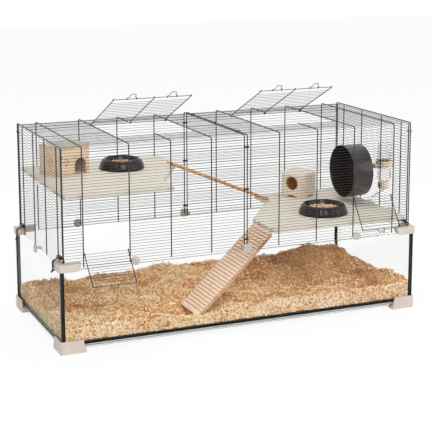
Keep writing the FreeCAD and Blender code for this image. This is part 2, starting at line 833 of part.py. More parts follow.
# Drinking bottle outside the right side panel, full of water
centre = V(bottle_x, bottle_y, 0)
pass_z = row_z(8.5)
cap_low = pass_z + 16.5
bottle_low = cap_low + 19.0
bottle_high = bottle_low + bottle_tall
levels = (
    (bottle_radius - 11, bottle_low),
    (bottle_radius, bottle_low + 10),
    (bottle_radius, bottle_high - 12),
    (bottle_radius - 10, bottle_high),
)
save("bottle", [stack(levels, centre, 24)])
cap_wide = bottle_radius - 4.5
levels = ((cap_wide - 3, cap_low), (cap_wide, cap_low + 4), (cap_wide, bottle_low))
save("bottle_cap", [stack(levels, centre, 16)])
drop = V(bottle_x, bottle_y, cap_low - 4.0)
slant = (drop.z - pass_z) / (bottle_x - side_row_x)
reach = bottle_gap + 22.0
spout = [V(bottle_x, bottle_y, cap_low), drop, drop + V(-reach, 0, -reach * slant)]
save("bottle_spout", wire(spout, V(0, 1, 0), 2.0))
arm_z = row_z(20.5)
band_low, band_high = arm_z - 9.4, arm_z + 10.6
grip = bottle_radius + 0.4
outer = plate([centre + V(a, b, band_low) for a, b in ngon(grip + 2.2, 18, 0)])
inner = plate([centre + V(a, b, band_low) for a, b in ngon(grip, 18, 0)])
band = outer.cut(inner).extrude(V(0, 0, band_high - band_low))
arm_x = side_row_x - 4.65
wide = (bottle_y - 8, bottle_y + 8)
arm_half = row_pitch / 2 - thin - 0.7
arm = box(arm_x, bottle_x - grip - 0.5, *wide, arm_z - arm_half, arm_z + arm_half)
arm = arm.fuse(box(arm_x, arm_x + 2.0, *wide, arm_z - 9, arm_z + arm_half))
save("bottle_holder", [band.fuse(arm).removeSplitter()])


# Bedding: a loose lumpy heap, highest at the right, low at the foot of the ramp
def lumps(x, y):
    small = math.sin(0.061 * x + 0.9 * math.sin(0.031 * y)) * math.sin(0.073 * y + 1.1 * math.sin(0.023 * x))
    return 3.4 * small + 2.6 * math.sin(0.037 * x + 0.052 * y + 0.6)


def heap(x, y):
    def hill(cx, cy, rx, ry, rise):
        return rise * math.exp(-((x - cx) / rx) ** 2 - ((y - cy) / ry) ** 2)
    level = bedding_deep + hill(half_x - 168, 60, 85, 95, 62) + hill(half_x - 84, 60, 34, 55, 28)
    level += hill(160, 60, 50, 60, 40) + hill(-60, half_y - 15, 130, 90, 12)
    level += hill(half_x - 15, -145, 80, 60, 18) - hill(-150, -150, 105, 75, 29)
    level += hill(200, -half_y, 300, 50, 9) + hill(-230, -half_y, 120, 50, 8)
    return level + lumps(x, y)


edge_x, edge_y = inner_x - 0.4, inner_y - 0.4
steps_x, steps_y = 30, 14
grid = []
for i in range(steps_x + 1):
    x = edge_x * (2.0 * i / steps_x - 1)
    ys = [edge_y * (2.0 * j / steps_y - 1) for j in range(steps_y + 1)]
    grid.append([V(x, y, heap(x, y)) for y in ys])
faces = []
for i in range(steps_x):
    for j in range(steps_y):
        a, b, c, d = grid[i][j], grid[i + 1][j], grid[i + 1][j + 1], grid[i][j + 1]
        faces += [plate([a, b, c]), plate([a, c, d])]
near, far = [line[0] for line in grid], [line[-1] for line in grid]
for rim in (near, far, grid[0], grid[-1]):
    faces.append(plate(rim + [V(rim[-1].x, rim[-1].y, floor_top), V(rim[0].x, rim[0].y, floor_top)]))
feet = [near[0], near[-1], far[-1], far[0]]
faces.append(plate([V(p.x, p.y, floor_top) for p in feet]))
shell = Part.Shell(faces)
shell.sewShape()
mound = Part.Solid(shell)
if mound.Volume < 0:
    mound.reverse()
low, high = floor_top - 1, seal_top + 0.3
core_x, core_y = inner_x - seal_width - 0.4, inner_y - seal_width - 0.4
for sign in (-1, 1):
    mound = mound.cut(box(-half_x, half_x, sign * core_y, sign * half_y, low, high))
    mound = mound.cut(box(sign * core_x, sign * half_x, -half_y, half_y, low, high))
nook_x, nook_y = inner_x - corner_seal - 1, inner_y - corner_seal - 1
for sx in (-1, 1):
    for sy in (-1, 1):
        nook = [
            V(sx * inner_x, sy * inner_y, low),
            V(sx * nook_x, sy * inner_y, low),
            V(sx * inner_x, sy * nook_y, low),
        ]
        mound = mound.cut(plate(nook).extrude(V(0, 0, 200)))
grow = [
    V(head.x + 3, ramp_near - 3, head.z + 6),
    head + down * (ramp_long + 3) + V(0, -3, 6),
    foot_point + under * (ramp_thick + 2) + down * 3 + V(0, -3, 0),
    V(head.x + 3, ramp_near - 3, head.z - ramp_thick / math.cos(slope) - 3),
]
mound = mound.cut(plate(grow).extrude(V(0, ramp_far - ramp_near + 6, 0)))
save("bedding", mound.Solids)
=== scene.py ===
import math
import random

import bmesh
import bpy
import numpy as np
from mathutils import Matrix, Vector, noise


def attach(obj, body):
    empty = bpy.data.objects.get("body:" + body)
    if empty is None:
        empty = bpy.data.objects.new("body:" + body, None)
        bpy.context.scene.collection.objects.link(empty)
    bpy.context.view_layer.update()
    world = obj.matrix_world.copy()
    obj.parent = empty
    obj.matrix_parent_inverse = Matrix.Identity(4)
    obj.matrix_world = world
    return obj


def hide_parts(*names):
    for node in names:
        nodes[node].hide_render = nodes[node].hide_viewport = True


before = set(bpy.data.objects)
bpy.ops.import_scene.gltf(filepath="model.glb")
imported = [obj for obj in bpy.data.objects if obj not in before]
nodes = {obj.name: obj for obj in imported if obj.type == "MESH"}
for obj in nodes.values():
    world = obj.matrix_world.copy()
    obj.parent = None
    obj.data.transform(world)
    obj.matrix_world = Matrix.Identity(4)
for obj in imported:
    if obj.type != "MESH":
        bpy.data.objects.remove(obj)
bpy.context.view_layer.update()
scene = bpy.context.scene
random.seed(11)
rng = np.random.default_rng(11)
print("frame loaded,", len(nodes), "nodes")

# lengths below are millimetres from the middle of the tank, as the maker would measure them
tank = {
    "length": 1000.0,
    "depth": 435.0,
    "glass": 5.0,
    "glassLow": 12.0,
    "glassHigh": 213.0,
    "floorLow": 14.0,
    "middleX": 15.05,  # the tank's middle in the frame of the whole part
    "middleY": -26.7,
}
halfX = tank["length"] / 2
halfY = tank["depth"] / 2
tankMiddle = np.array((tank["middleX"], tank["middleY"], 0.0))


def toFrame(points):
    return (np.asarray(points, float) - tankMiddle) / 1000


def linear(text):
    values = [int(text[i : i + 2], 16) / 255 for i in (1, 3, 5)]
    return [v / 12.92 if v <= 0.04045 else ((v + 0.055) / 1.055) ** 2.4 for v in values] + [1.0]


def addNode(tree, kind, settings=None, inputs=None):
    node = tree.nodes.new(kind)
    for name, value in (settings or {}).items():
        setattr(node, name, value)
    for name, value in (inputs or {}).items():
        if isinstance(value, bpy.types.NodeSocket):
            tree.links.new(value, node.inputs[name])
        else:
            node.inputs[name].default_value = value
    return node


def perMm(size):
    return 1000.0 / size  # texture scale for a pattern of that many millimetres


def startMaterial(name, **values):
    material = bpy.data.materials.new(name)
    material.use_nodes = True
    tree = material.node_tree
    shader = tree.nodes["Principled BSDF"]
    for key, value in values.items():
        shader.inputs[{"ior": "IOR"}.get(key, key.capitalize())].default_value = value
    return material, tree, shader


def rampStops(node, stops):
    elements = node.color_ramp.elements
    while len(elements) < len(stops):
        elements.new(0.5)
    for element, (place, colour) in zip(elements, stops):
        element.position = place
        element.color = linear(colour)


# the end of every finish: one pattern gives its gloss, between two roughnesses, and its relief in metres
def glossAndRelief(tree, shader, pattern, gloss, relief=None):
    least, most = gloss
    span = {"Value": pattern.outputs["Fac"], "To Min": least, "To Max": most}
    shine = addNode(tree, "ShaderNodeMapRange", None, span)
    tree.links.new(shine.outputs["Result"], shader.inputs["Roughness"])
    if relief:
        strength, metres = relief
        raised = {"Height": pattern.outputs["Fac"], "Strength": strength, "Distance": metres}
        bump = addNode(tree, "ShaderNodeBump", None, raised)
        tree.links.new(bump.outputs["Normal"], shader.inputs["Normal"])


# injection-moulded plastic: even colour with faint flow clouds 35 mm across, and a spark-eroded grain that
# breaks up the gloss; the real grain is too fine to show, so it is drawn about 1 mm coarse
def mouldedPlastic(name, colour, shade, roughness, grainMm, depth):
    material, tree, shader = startMaterial(name, ior=1.5)
    where = addNode(tree, "ShaderNodeTexCoord").outputs["Object"]
    cloud = addNode(tree, "ShaderNodeTexNoise", None, {"Vector": where, "Scale": perMm(35), "Detail": 3})
    tint = addNode(tree, "ShaderNodeValToRGB", None, {"Fac": cloud.outputs["Fac"]})
    rampStops(tint, ((0.3, shade), (0.7, colour)))
    tree.links.new(tint.outputs["Color"], shader.inputs["Base Color"])
    grain = addNode(tree, "ShaderNodeTexNoise", None, {"Vector": where, "Scale": perMm(grainMm), "Detail": 2})
    glossAndRelief(tree, shader, grain, (roughness - 0.07, roughness + 0.09), (depth, 0.0004))
    return material


# sawn and sanded wood: long fibres along one way, darker growth bands, small pores;
# the real fibres are too fine to show, so they are drawn 2.2 mm wide
def sawnWood(name, pale, dark, pore, bandMm, turn):
    material, tree, shader = startMaterial(name, ior=1.5)
    where = addNode(tree, "ShaderNodeTexCoord").outputs["Object"]
    along = addNode(tree, "ShaderNodeMapping", None, {"Vector": where, "Rotation": turn}).outputs["Vector"]
    patterns = []
    for squeeze, sizes in (  # bands and fibres, drawn out along the wood
        (0.12, {"Scale": perMm(bandMm), "Detail": 4, "Distortion": 0.6}),
        (0.05, {"Scale": perMm(2.2), "Detail": 2}),
    ):
        drawn = addNode(tree, "ShaderNodeMapping", None, {"Vector": along, "Scale": (squeeze, 1, 1)})
        sizes["Vector"] = drawn.outputs["Vector"]
        patterns.append(addNode(tree, "ShaderNodeTexNoise", None, sizes))
    band, fibre = patterns
    tint = addNode(tree, "ShaderNodeValToRGB", None, {"Fac": band.outputs["Fac"]})
    rampStops(tint, ((0.3, dark), (0.52, pale), (0.74, pale)))
    streak = addNode(tree, "ShaderNodeValToRGB", None, {"Fac": fibre.outputs["Fac"]})
    rampStops(streak, ((0.32, pore), (0.5, "#ffffff")))
    colour = addNode(
        tree,
        "ShaderNodeMix",
        {"data_type": "RGBA", "blend_type": "MULTIPLY"},
        {0: 0.55, 6: tint.outputs["Color"], 7: streak.outputs["Color"]},
    )
    tree.links.new(colour.outputs[2], shader.inputs["Base Color"])
    glossAndRelief(tree, shader, fibre, (0.74, 0.54), (0.35, 0.0005))
    return material


# clear glass, blown plastic or water: bends what is behind it under a faint mirror; lamps pass it, so that
# the bedding is lit through the panes, and bare is the share that passes straight to the eye as well
def clearSheet(name, colour, mirror, ior, roughness, through, bare):
    material, tree, shader = startMaterial(name, ior=ior, roughness=roughness)
    shader.inputs["Base Color"].default_value = linear(colour)
    shader.inputs["Transmission Weight"].default_value = 1.0
    shader.inputs["Specular Tint"].default_value = linear(mirror)
    path = addNode(tree, "ShaderNodeLightPath")
    clear = addNode(tree, "ShaderNodeBsdfTransparent", None, {"Color": linear(through)})
    share = addNode(
        tree,
        "ShaderNodeMapRange",
        None,
        {"Value": path.outputs["Is Shadow Ray"], "To Min": bare, "To Max": 1.0},
    )
    mixed = addNode(
        tree,
        "ShaderNodeMixShader",
        None,
        {0: share.outputs["Result"], 1: shader.outputs["BSDF"], 2: clear.outputs["BSDF"]},
    )
    tree.links.new(mixed.outputs["Shader"], tree.nodes["Material Output"].inputs["Surface"])
    return material


# float glass, polished: hardly a tint; the end panes lie along the view and are clearer, against veiling
floatGlass = clearSheet("floatGlassPolished", "#ffffff", "#8c8c8c", 1.52, 0.0, "#fdfefd", 0.0)
endGlass = clearSheet("floatGlassEndPane", "#ffffff", "#8c8c8c", 1.52, 0.0, "#fdfefd", 0.93)
# blown PET: thin and clear with a soft sheen; still water shows by its level
clearBottle = clearSheet("clearPetBlown", "#fefefe", "#c8c8c8", 1.46, 0.03, "#fcfcfc", 0.8)
bottleWater = clearSheet("waterStill", "#ffffff", "#ffffff", 1.33, 0.0, "#fcfcfc", 0.85)
# satin mouldings: feet and caps, shelves, clips and levers, axle and hooks
beigeMoulding = mouldedPlastic("beigeAbsMoulded", "#d6cac0", "#cdc0b5", 0.46, 0.9, 0.25)
creamShelf = mouldedPlastic("creamPolypropyleneMoulded", "#e6dfd1", "#ded6c7", 0.52, 1.2, 0.35)
blackMoulding = mouldedPlastic("blackAcetalMoulded", "#1b1b1c", "#141415", 0.42, 0.8, 0.2)
whiteMoulding = mouldedPlastic("whiteNylonMoulded", "#ece9e2", "#e3dfd6", 0.42, 0.8, 0.2)
# polished polystyrene and pressed melamine: dark and smooth, with sharp highlights
wheelShell = mouldedPlastic("anthracitePolystyrenePolished", "#2e2723", "#261f1b", 0.16, 1.4, 0.1)
bowlGlaze = mouldedPlastic("blackMelaminePressed", "#271f19", "#1d1712", 0.13, 1.6, 0.12)
# polypropylene: the rim clips let some light through, the bottle's holder and cap are opaque
frostedMoulding = mouldedPlastic("frostedPolypropyleneMoulded", "#d3c8c0", "#cabfb6", 0.5, 0.9, 0.25)
peachMoulding = mouldedPlastic("peachPolypropyleneMoulded", "#fcecd2", "#f6e2c2", 0.5, 1.0, 0.25)
for plastic, socket, value in ((bowlGlaze, "Specular IOR Level", 0.28), (frostedMoulding, "Alpha", 0.7)):
    plastic.node_tree.nodes["Principled BSDF"].inputs[socket].default_value = value
# silicone bead, tooled with a finger: black and slick
sealBlack = mouldedPlastic("blackSiliconeTooled", "#0f1211", "#0b0d0d", 0.36, 1.5, 0.3)
# pine ramp whose grooves take a darker copy as painted shade, birch house under a greyer roof, lime hide
# whose inside takes a bright orange copy as painted glow
alongRamp = (0, math.radians(-43.4), 0)
alongHouse = (0, 0, math.radians(-25.5))
alongHide = (0, math.radians(90), 0)
rampWood = sawnWood("pineRampSawn", "#fde4c9", "#f0cfac", "#d8ad85", 9.0, alongRamp)
rampGrooveShade = sawnWood("pineGroovePaintedShade", "#c69c76", "#ab8462", "#8f6b4c", 9.0, alongRamp)
houseWood = sawnWood("birchPlywoodSanded", "#efd7ba", "#dfc19f", "#c6a482", 12.0, alongHouse)
# the roof: the house's birch in greyer tones
roofWood = sawnWood("birchPlywoodGreyRoof", "#ded4c6", "#cfc3b2", "#b8aa98", 12.0, alongHouse)
hideWood = sawnWood("limeWoodTurned", "#f4e5d6", "#e7d3bf", "#d3baa0", 10.0, alongHide)
# the hide's inner faces: a brighter, orange copy of the lime, painted light glowing inside the hole
hidePaintedGlow = sawnWood("limeWoodPaintedGlow", "#ffc266", "#f5ab48", "#d98f30", 10.0, alongHide)


# a coated, cut or barked surface: one mottle gives its colour, its gloss and its relief
def mottledSurface(name, ior, sizeMm, detail, stops, gloss, relief=None):
    material, tree, shader = startMaterial(name, ior=ior)
    where = addNode(tree, "ShaderNodeTexCoord").outputs["Object"]
    scale = {"Vector": where, "Scale": perMm(sizeMm), "Detail": detail}
    mottle = addNode(tree, "ShaderNodeTexNoise", None, scale)
    tint = addNode(tree, "ShaderNodeValToRGB", None, {"Fac": mottle.outputs["Fac"]})
    rampStops(tint, stops)
    tree.links.new(tint.outputs["Color"], shader.inputs["Base Color"])
    glossAndRelief(tree, shader, mottle, gloss, relief)
    return material


# stainless tube, drawn: bright, with fine lines along its length that spread the light
def drawnSteel():
    material, tree, shader = startMaterial("stainlessTubeDrawn", metallic=1.0)
    shader.inputs["Base Color"].default_value = linear("#b9bbbd")
    where = addNode(tree, "ShaderNodeTexCoord").outputs["Object"]
    thin = addNode(tree, "ShaderNodeMapping", None, {"Vector": where, "Scale": (0.1, 1, 1)})
    line = addNode(
        tree, "ShaderNodeTexNoise", None, {"Vector": thin.outputs["Vector"], "Scale": perMm(0.8), "Detail": 2}
    )
    glossAndRelief(tree, shader, line, (0.16, 0.34))
    return material


# loose wood chips: every chip its own shade, pale heartwood to toasted brown, dull sawn faces
def looseChips(name, stops, shade, roughness):
    material, tree, shader = startMaterial(name, ior=1.45)
    island = addNode(tree, "ShaderNodeNewGeometry").outputs["Random Per Island"]
    tint = addNode(tree, "ShaderNodeValToRGB", None, {"Fac": island})
    rampStops(tint, stops)
    where = addNode(tree, "ShaderNodeTexCoord").outputs["Object"]
    drift = addNode(tree, "ShaderNodeTexNoise", None, {"Vector": where, "Scale": perMm(90), "Detail": 3})
    patch = addNode(tree, "ShaderNodeValToRGB", None, {"Fac": drift.outputs["Fac"]})
    rampStops(patch, ((0.36, shade), (0.6, "#ffffff")))
    colour = addNode(
        tree,
        "ShaderNodeMix",
        {"data_type": "RGBA", "blend_type": "MULTIPLY"},
        {0: 1.0, 6: tint.outputs["Color"], 7: patch.outputs["Color"]},
    )
    tree.links.new(colour.outputs[2], shader.inputs["Base Color"])
    fibre = addNode(tree, "ShaderNodeTexNoise", None, {"Vector": where, "Scale": perMm(1.6), "Detail": 2})
    glossAndRelief(tree, shader, fibre, (roughness - 0.1, roughness + 0.1))
    return material


# drawn steel wire, powder coated: near-black satin with a slight orange peel
wireStops = ((0.35, "#1f1f20"), (0.7, "#2c2c2d"))
blackWire = mottledSurface("steelWirePowderCoated", 1.5, 1.2, 2, wireStops, (0.34, 0.5), (0.2, 0.0002))
tubeSteel = drawnSteel()
# edge of a glass pane: the green that shows along its arris, dark where cut and pale where ground
cutStops = ((0.3, "#0c1d19"), (0.7, "#27473f"))
groundStops = ((0.3, "#dde8e4"), (0.7, "#eef4f2"))
paneEdge = mottledSurface("floatGlassEdgeCut", 1.52, 14, 3, cutStops, (0.12, 0.26))
floorEdge = mottledSurface("floatGlassEdgeGround", 1.52, 14, 3, groundStops, (0.38, 0.52))
# branch with its bark on: orange-tan, mottled and flaking
barkStops = ((0.3, "#9a6840"), (0.5, "#d6a06c"), (0.72, "#ebcaa4"))
branchBark = mottledSurface("hazelBranchBarked", 1.45, 11, 5, barkStops, (0.6, 0.85), (0.5, 0.001))
# chips: screened ones pale, toasted ones darker and also heaped where shade is painted, those pressed to the
# panes duller, brown dust between them with painted shade in the gaps
chipWood = looseChips(
    "woodChipsScreened",
    ((0.0, "#e6b87c"), (0.12, "#fbdba6"), (0.45, "#ffecc4"), (1.0, "#fff8e6")),
    "#fbecd2",
    0.75,
)
chipToastedAndShaded = looseChips(
    "woodChipsToastedAndShaded",
    ((0.0, "#aa7236"), (0.2, "#cf9856"), (0.6, "#e4b77a"), (1.0, "#f3d9ab")),
    "#d9b080",
    0.75,
)
chipPale = looseChips(
    "woodChipsPressed",
    ((0.0, "#b98a5c"), (0.15, "#ecc999"), (0.5, "#fae0ba"), (1.0, "#fff5e2")),
    "#f4e6d0",
    0.75,
)
# the mound under the chips: brown dust, darkened as painted shade in the gaps between them
chipShade = looseChips("woodDustAndPaintedShade", ((0.0, "#d7a568"), (1.0, "#d7a568")), "#e4c29a", 0.85)
# whole seed, mixed: husks from brown and yellow to white, with a slight sheen
grainStops = [(0.0, "#8a5a24"), (0.2, "#d9a03c"), (0.45, "#f0c964")]
grainStops += [(0.7, "#fbf3da"), (0.9, "#ffffff"), (1.0, "#e89a58")]
seedCoat = looseChips("mixedSeedWhole", grainStops, "#e6d3b4", 0.5)
print("materials ready")


class Build:
    def __init__(self):
        self.verts = []
        self.faces = []
        self.slots = []

    def add(self, verts, faces):
        start = len(self.verts)
        self.verts += [tuple(v) for v in verts]
        self.faces += [tuple(i + start for i in f) for f in faces]
        self.slots += [0] * len(faces)


def makePiece(name, build, materials, body, replaced, smooth):
    mesh = bpy.data.meshes.new(name)
    mesh.from_pydata(toFrame(build.verts).tolist(), [], build.faces)
    for material in materials:
        mesh.materials.append(material)
    mesh.polygons.foreach_set("material_index", build.slots)
    finishPiece(name, mesh, body, replaced, smooth)


def finishPiece(name, mesh, body, replaced, smooth):
    if smooth:
        mesh.shade_smooth()
        mesh.set_sharp_from_angle(angle=math.radians(smooth))
    mesh.update()
    piece = bpy.data.objects.new(name, mesh)
    scene.collection.objects.link(piece)
    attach(piece, body)
    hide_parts(*replaced)


# a moulded or sawn piece: the CAD form with its arrises eased; pick finds the faces of the extra material
def easedPiece(name, node, material, body, ease, segments=2, extra=None, pick=None):
    flat, crease = math.radians(0.5), math.radians(28)
    work = bmesh.new()
    work.from_mesh(nodes[node].data)
    bmesh.ops.remove_doubles(work, verts=work.verts, dist=1e-6)
    bmesh.ops.dissolve_limit(work, angle_limit=flat, verts=work.verts, edges=work.edges)
    sharp = [e for e in work.edges if e.is_manifold and e.calc_face_angle(0) > crease]
    bmesh.ops.bevel(
        work,
        geom=sharp,
        offset=ease / 1000,
        offset_type="OFFSET",
        segments=segments,
        profile=0.5,
        affect="EDGES",
        clamp_overlap=True,
    )
    for face in work.faces:
        face.material_index = 1 if pick and pick(face) else 0
    bmesh.ops.triangulate(work, faces=[f for f in work.faces if len(f.verts) > 4])
    mesh = bpy.data.meshes.new(name)
    work.to_mesh(mesh)
    work.free()
    mesh.materials.append(material)
    if extra:
        mesh.materials.append(extra)
    finishPiece(name, mesh, body, (node,), 32)


# tank panes, ground along their arrises
def glassPane(name, node, low, high, thin, sheet, edge):
    ease = 0.7
    work = bmesh.new()
    bmesh.ops.create_cube(work, size=1.0)
    for v in work.verts:
        v.co = Vector([(a if c < 0 else b) for a, b, c in zip(low, high, v.co)])
    bmesh.ops.bevel(work, geom=work.edges[:], offset=ease, segments=1, affect="EDGES", clamp_overlap=True)
    work.verts.index_update()
    build = Build()
    build.verts = [tuple(v.co) for v in work.verts]
    for face in work.faces:
        dark = abs(face.normal[thin]) < 0.9 and (thin == 2 or abs(face.normal.z) < 0.6)
        build.faces.append(tuple(v.index for v in face.verts))
        build.slots.append(1 if dark else 0)
    work.free()
    makePiece(name, build, [sheet, edge], "cage", (node,), 20)


innerX, innerY = halfX - tank["glass"], halfY - tank["glass"]
lowZ, highZ = tank["glassLow"], tank["glassHigh"]
floorZ, floorTop = tank["floorLow"], tank["floorLow"] + tank["glass"]
floorLow, floorHigh = (-innerX, -innerY, floorZ), (innerX, innerY, floorTop)
for pane in (  # piece, node, lowest and highest corner, axis of its thickness, face and edge
    ("frontPane", "glass_front", (-halfX, -halfY, lowZ), (halfX, -innerY, highZ), 1, floatGlass, paneEdge),
    ("backPane", "glass_back", (-halfX, innerY, lowZ), (halfX, halfY, highZ), 1, floatGlass, paneEdge),
    ("leftPane", "glass_left", (-halfX, -innerY, lowZ), (-innerX, innerY, highZ), 0, endGlass, paneEdge),
    ("rightPane", "glass_right", (innerX, -innerY, lowZ), (halfX, innerY, highZ), 0, endGlass, paneEdge),
    ("floorPane", "glass_floor", floorLow, floorHigh, 2, floatGlass, floorEdge),
):
    glassPane(*pane)
easedPiece("baseSeal", "base_seal", sealBlack, "cage", 1.2)
easedPiece("cornerSeals", "corner_seals", sealBlack, "cage", 1.0)
for corner in ("front_left", "front_right", "back_left", "back_right"):
    label = "".join(word.capitalize() for word in corner.split("_"))
    easedPiece("foot" + label, "foot_" + corner, beigeMoulding, "cage", 1.4, 3)
    easedPiece("cap" + label, "cap_" + corner, beigeMoulding, "cage", 1.2, 3)
    easedPiece("lever" + label, "lever_" + corner, blackMoulding, "lever_" + corner, 0.5)
easedPiece("rimClips", "rim_clips", frostedMoulding, "cage", 0.5)
easedPiece("jointClips", "joint_clips", blackMoulding, "cage", 0.5)
easedPiece("cornerClips", "corner_clips", blackMoulding, "cage", 0.5)
print("tank and mouldings done")

# wire top: the same rows, uprights and doors as the solids, as round drawn wire
wireTop = {
    "rowPitch": 7.33,
    "rowFirst": 216.5,
    "rows": 41,
    "roofRows": (-6, 21),
    "roofPitch": 14.66,
    "thin": 0.5,  # radii of the wires
    "thick": 1.5,
    "doorWire": 1.2,
    "edgeWire": 0.9,
    "latchWire": 0.8,
    "front": 208.6,
    "roof": 515.2,
    "bend": 6.3,
    "uprights": (4.0, 95.4, 205.7, 316.0, 437.0, 488.2),
    "low": 214.5,
    "capTop": 228.5,
    "past": 2.5,  # how far a wire runs past the last upright it crosses, and past one beside a door
    "short": 1.4,
    "seam": 1.6,  # from the middle to the inner ends of the wall's wires, and of the roof's
    "roofSeam": 0.4,
    "sideX": 487.5,
    "sideY": (55.0, 161.6, 200.6),
    "sideReach": (164.2, 204.1),  # half a side wire's length, below the top of the caps and above it
    "sideTop": 512.0,
}
rowY = wireTop["front"] - wireTop["thick"] - wireTop["thin"]
roofRowZ = wireTop["roof"] - wireTop["thick"] - wireTop["thin"]
sideRowX = wireTop["sideX"] + wireTop["thick"] + wireTop["thin"]


def rowZ(k):
    return wireTop["rowFirst"] + wireTop["rowPitch"] * k


# a path with its corners rounded, by less than half of each run
def softBend(points, radius, steps=4):
    points = [Vector(p) for p in points]
    path = [points[0]]
    for before, here, after in zip(points, points[1:], points[2:]):
        a, b = before - here, after - here
        reach = min(radius, 0.45 * a.length, 0.45 * b.length)
        a.normalize()
        b.normalize()
        for k in range(steps + 1):
            t = k / steps
            path.append(here + a * reach * (1 - t) ** 2 + b * reach * t**2)
    return path + [points[-1]]


# a round wire along the points, with its two ends rounded over
def drawWire(build, points, radius, sides=8):
    points = [Vector(p) for p in points]
    first = (points[1] - points[0]).normalized()
    last = (points[-1] - points[-2]).normalized()
    stations = [(points[0], 0.0), (points[0] + first * radius * 0.25, 0.7)]
    stations.append((points[0] + first * radius, 1.0))
    stations += [(p, 1.0) for p in points[1:-1]]
    stations.append((points[-1] - last * radius, 1.0))
    stations += [(points[-1] - last * radius * 0.25, 0.7), (points[-1], 0.0)]
    middle = [s[0] for s in stations]
    side = first.orthogonal().normalized()
    verts, faces, count = [], [], len(stations)
    for i, (p, size) in enumerate(stations):
        way = (middle[min(i + 1, count - 1)] - middle[max(i - 1, 0)]).normalized()
        side = (side - way * side.dot(way)).normalized()
        up = way.cross(side)
        if size == 0:
            verts.append(p)
            continue
        for k in range(sides):
            t = 2 * math.pi * (k + 0.5) / sides
            verts.append(p + (side * math.cos(t) + up * math.sin(t)) * radius * size)
    rings = count - 2
    for i in range(rings - 1):
        for k in range(sides):
            a, b = 1 + i * sides + k, 1 + i * sides + (k + 1) % sides
            faces.append((a, b, b + sides, a + sides))
    tail = 1 + (rings - 1) * sides
    for k in range(sides):
        faces.append((0, 1 + (k + 1) % sides, 1 + k))
        faces.append((len(verts) - 1, tail + k, tail + (k + 1) % sides))
    build.add(verts, faces)


def uprightPaths(x):
    front, roof, turn = wireTop["front"], wireTop["roof"], wireTop["bend"]
    low = wireTop["capTop"] if abs(x) == wireTop["uprights"][5] else wireTop["low"]
    if abs(x) != wireTop["uprights"][2]:
        whole = [(x, -front, low), (x, -front, roof), (x, front, roof), (x, front, low)]
        return [softBend(whole, turn, 5)]
    stubs = [  # the third upright stops at the roof door's opening
        [(x, -front, low), (x, -front, roof), (x, roofDoor["openY"] + wireTop["past"], roof)],
        [(x, roofDoor["hingeY"] + roofDoor["stubGap"], roof), (x, front, roof), (x, front, low)],
    ]
    return [softBend(stub, turn, 5) for stub in stubs]


frontDoor = {
    "hingeRow": {"left": 4, "right": 14},
    "openRows": 11,
    "length": 92.0,
    "rows": 10,
    "pitch": wireTop["rowPitch"],
    "rowSide": 1,  # rows lie on the outer or the inner side of the side wires
    "rowPast": 1.4,
    "edgeIn": 1.2,
    "tips": (),
    "angle": {"left": 135.0, "right": 145.0},
    "latch": ((-9, 0), (-9, 2), (-6.5, 7), (0, 3), (6.5, 7), (9, 2), (9, 0)),
}
roofDoor = {
    "hingeY": 14.5 * wireTop["rowPitch"],
    "openY": -13.5 * wireTop["rowPitch"],
    "stubGap": 6.0,
    "length": 212.0,
    "rows": 13,
    "pitch": wireTop["roofPitch"],
    "rowSide": -1,
    "rowPast": 1.2,
    "edgeIn": 4.0,
    "tips": ((3.0, 4.0),),  # the side wires' ends turn up past the edge
    "angle": 25.0,
    "latch": ((13, 0), (13, 2), (7, 4), (8, 13), (5, 17)),
    "latchLean": 20.0,
    "latchX": (150.55, 260.85),
}
# side wires of every door: a jog over the net, then an open eye round the hinge wire
doorSide = {
    "gap": 4.0,
    "firstRow": 14.0,
    "jog": 2.9,
    "jogAt": (11.0, 6.0),
    "bend": 2.5,
    "eye": 2.55,
    "sweep": 300,
}
latchEye = {"play": 0.35, "wide": 1.08, "start": -30, "sweep": 240, "bend": 3.0}


def wallSpans(k, side, front):
    seam, past, short = wireTop["seam"], wireTop["past"], wireTop["short"]
    near, far, end = wireTop["uprights"][3:]
    outer = (end if rowZ(k) > wireTop["capTop"] else far) + past
    hinge = frontDoor["hingeRow"][side]
    if front and hinge < k < hinge + frontDoor["openRows"]:
        return ((seam, near + short), (far - short, outer))
    return ((seam, outer),)


def netRows(build, side, sign):
    thin = wireTop["thin"]
    for k in range(wireTop["rows"]):
        for y in (-rowY, rowY):
            for a, b in wallSpans(k, side, y < 0):
                drawWire(build, [(sign * a, y, rowZ(k)), (sign * b, y, rowZ(k))], thin)
    seam, short = wireTop["roofSeam"], wireTop["short"]
    near, far = wireTop["uprights"][1], wireTop["uprights"][3]
    outer = wireTop["uprights"][5] + wireTop["past"]
    first, last = wireTop["roofRows"]
    for j in range(first, last + 1):
        y = roofDoor["hingeY"] - j * wireTop["roofPitch"]
        spans = ((seam, outer),)
        if roofDoor["openY"] + 1 < y < roofDoor["hingeY"] - 1:
            spans = ((seam, near + short), (far - short, outer))
        for a, b in spans:
            drawWire(build, [(sign * a, y, roofRowZ), (sign * b, y, roofRowZ)], thin)


def sidePanel(build, sign):
    x = sign * wireTop["sideX"]
    for y in wireTop["sideY"]:
        low = wireTop["capTop"] if y == wireTop["sideY"][2] else wireTop["low"]
        for way in (-1, 1):
            drawWire(build, [(x, way * y, low), (x, way * y, wireTop["sideTop"])], wireTop["thick"])
    x = sign * sideRowX
    lowReach, highReach = wireTop["sideReach"]
    for k in range(wireTop["rows"]):
        reach = highReach if rowZ(k) > wireTop["capTop"] else lowReach
        drawWire(build, [(x, -reach, rowZ(k)), (x, reach, rowZ(k))], wireTop["thin"])


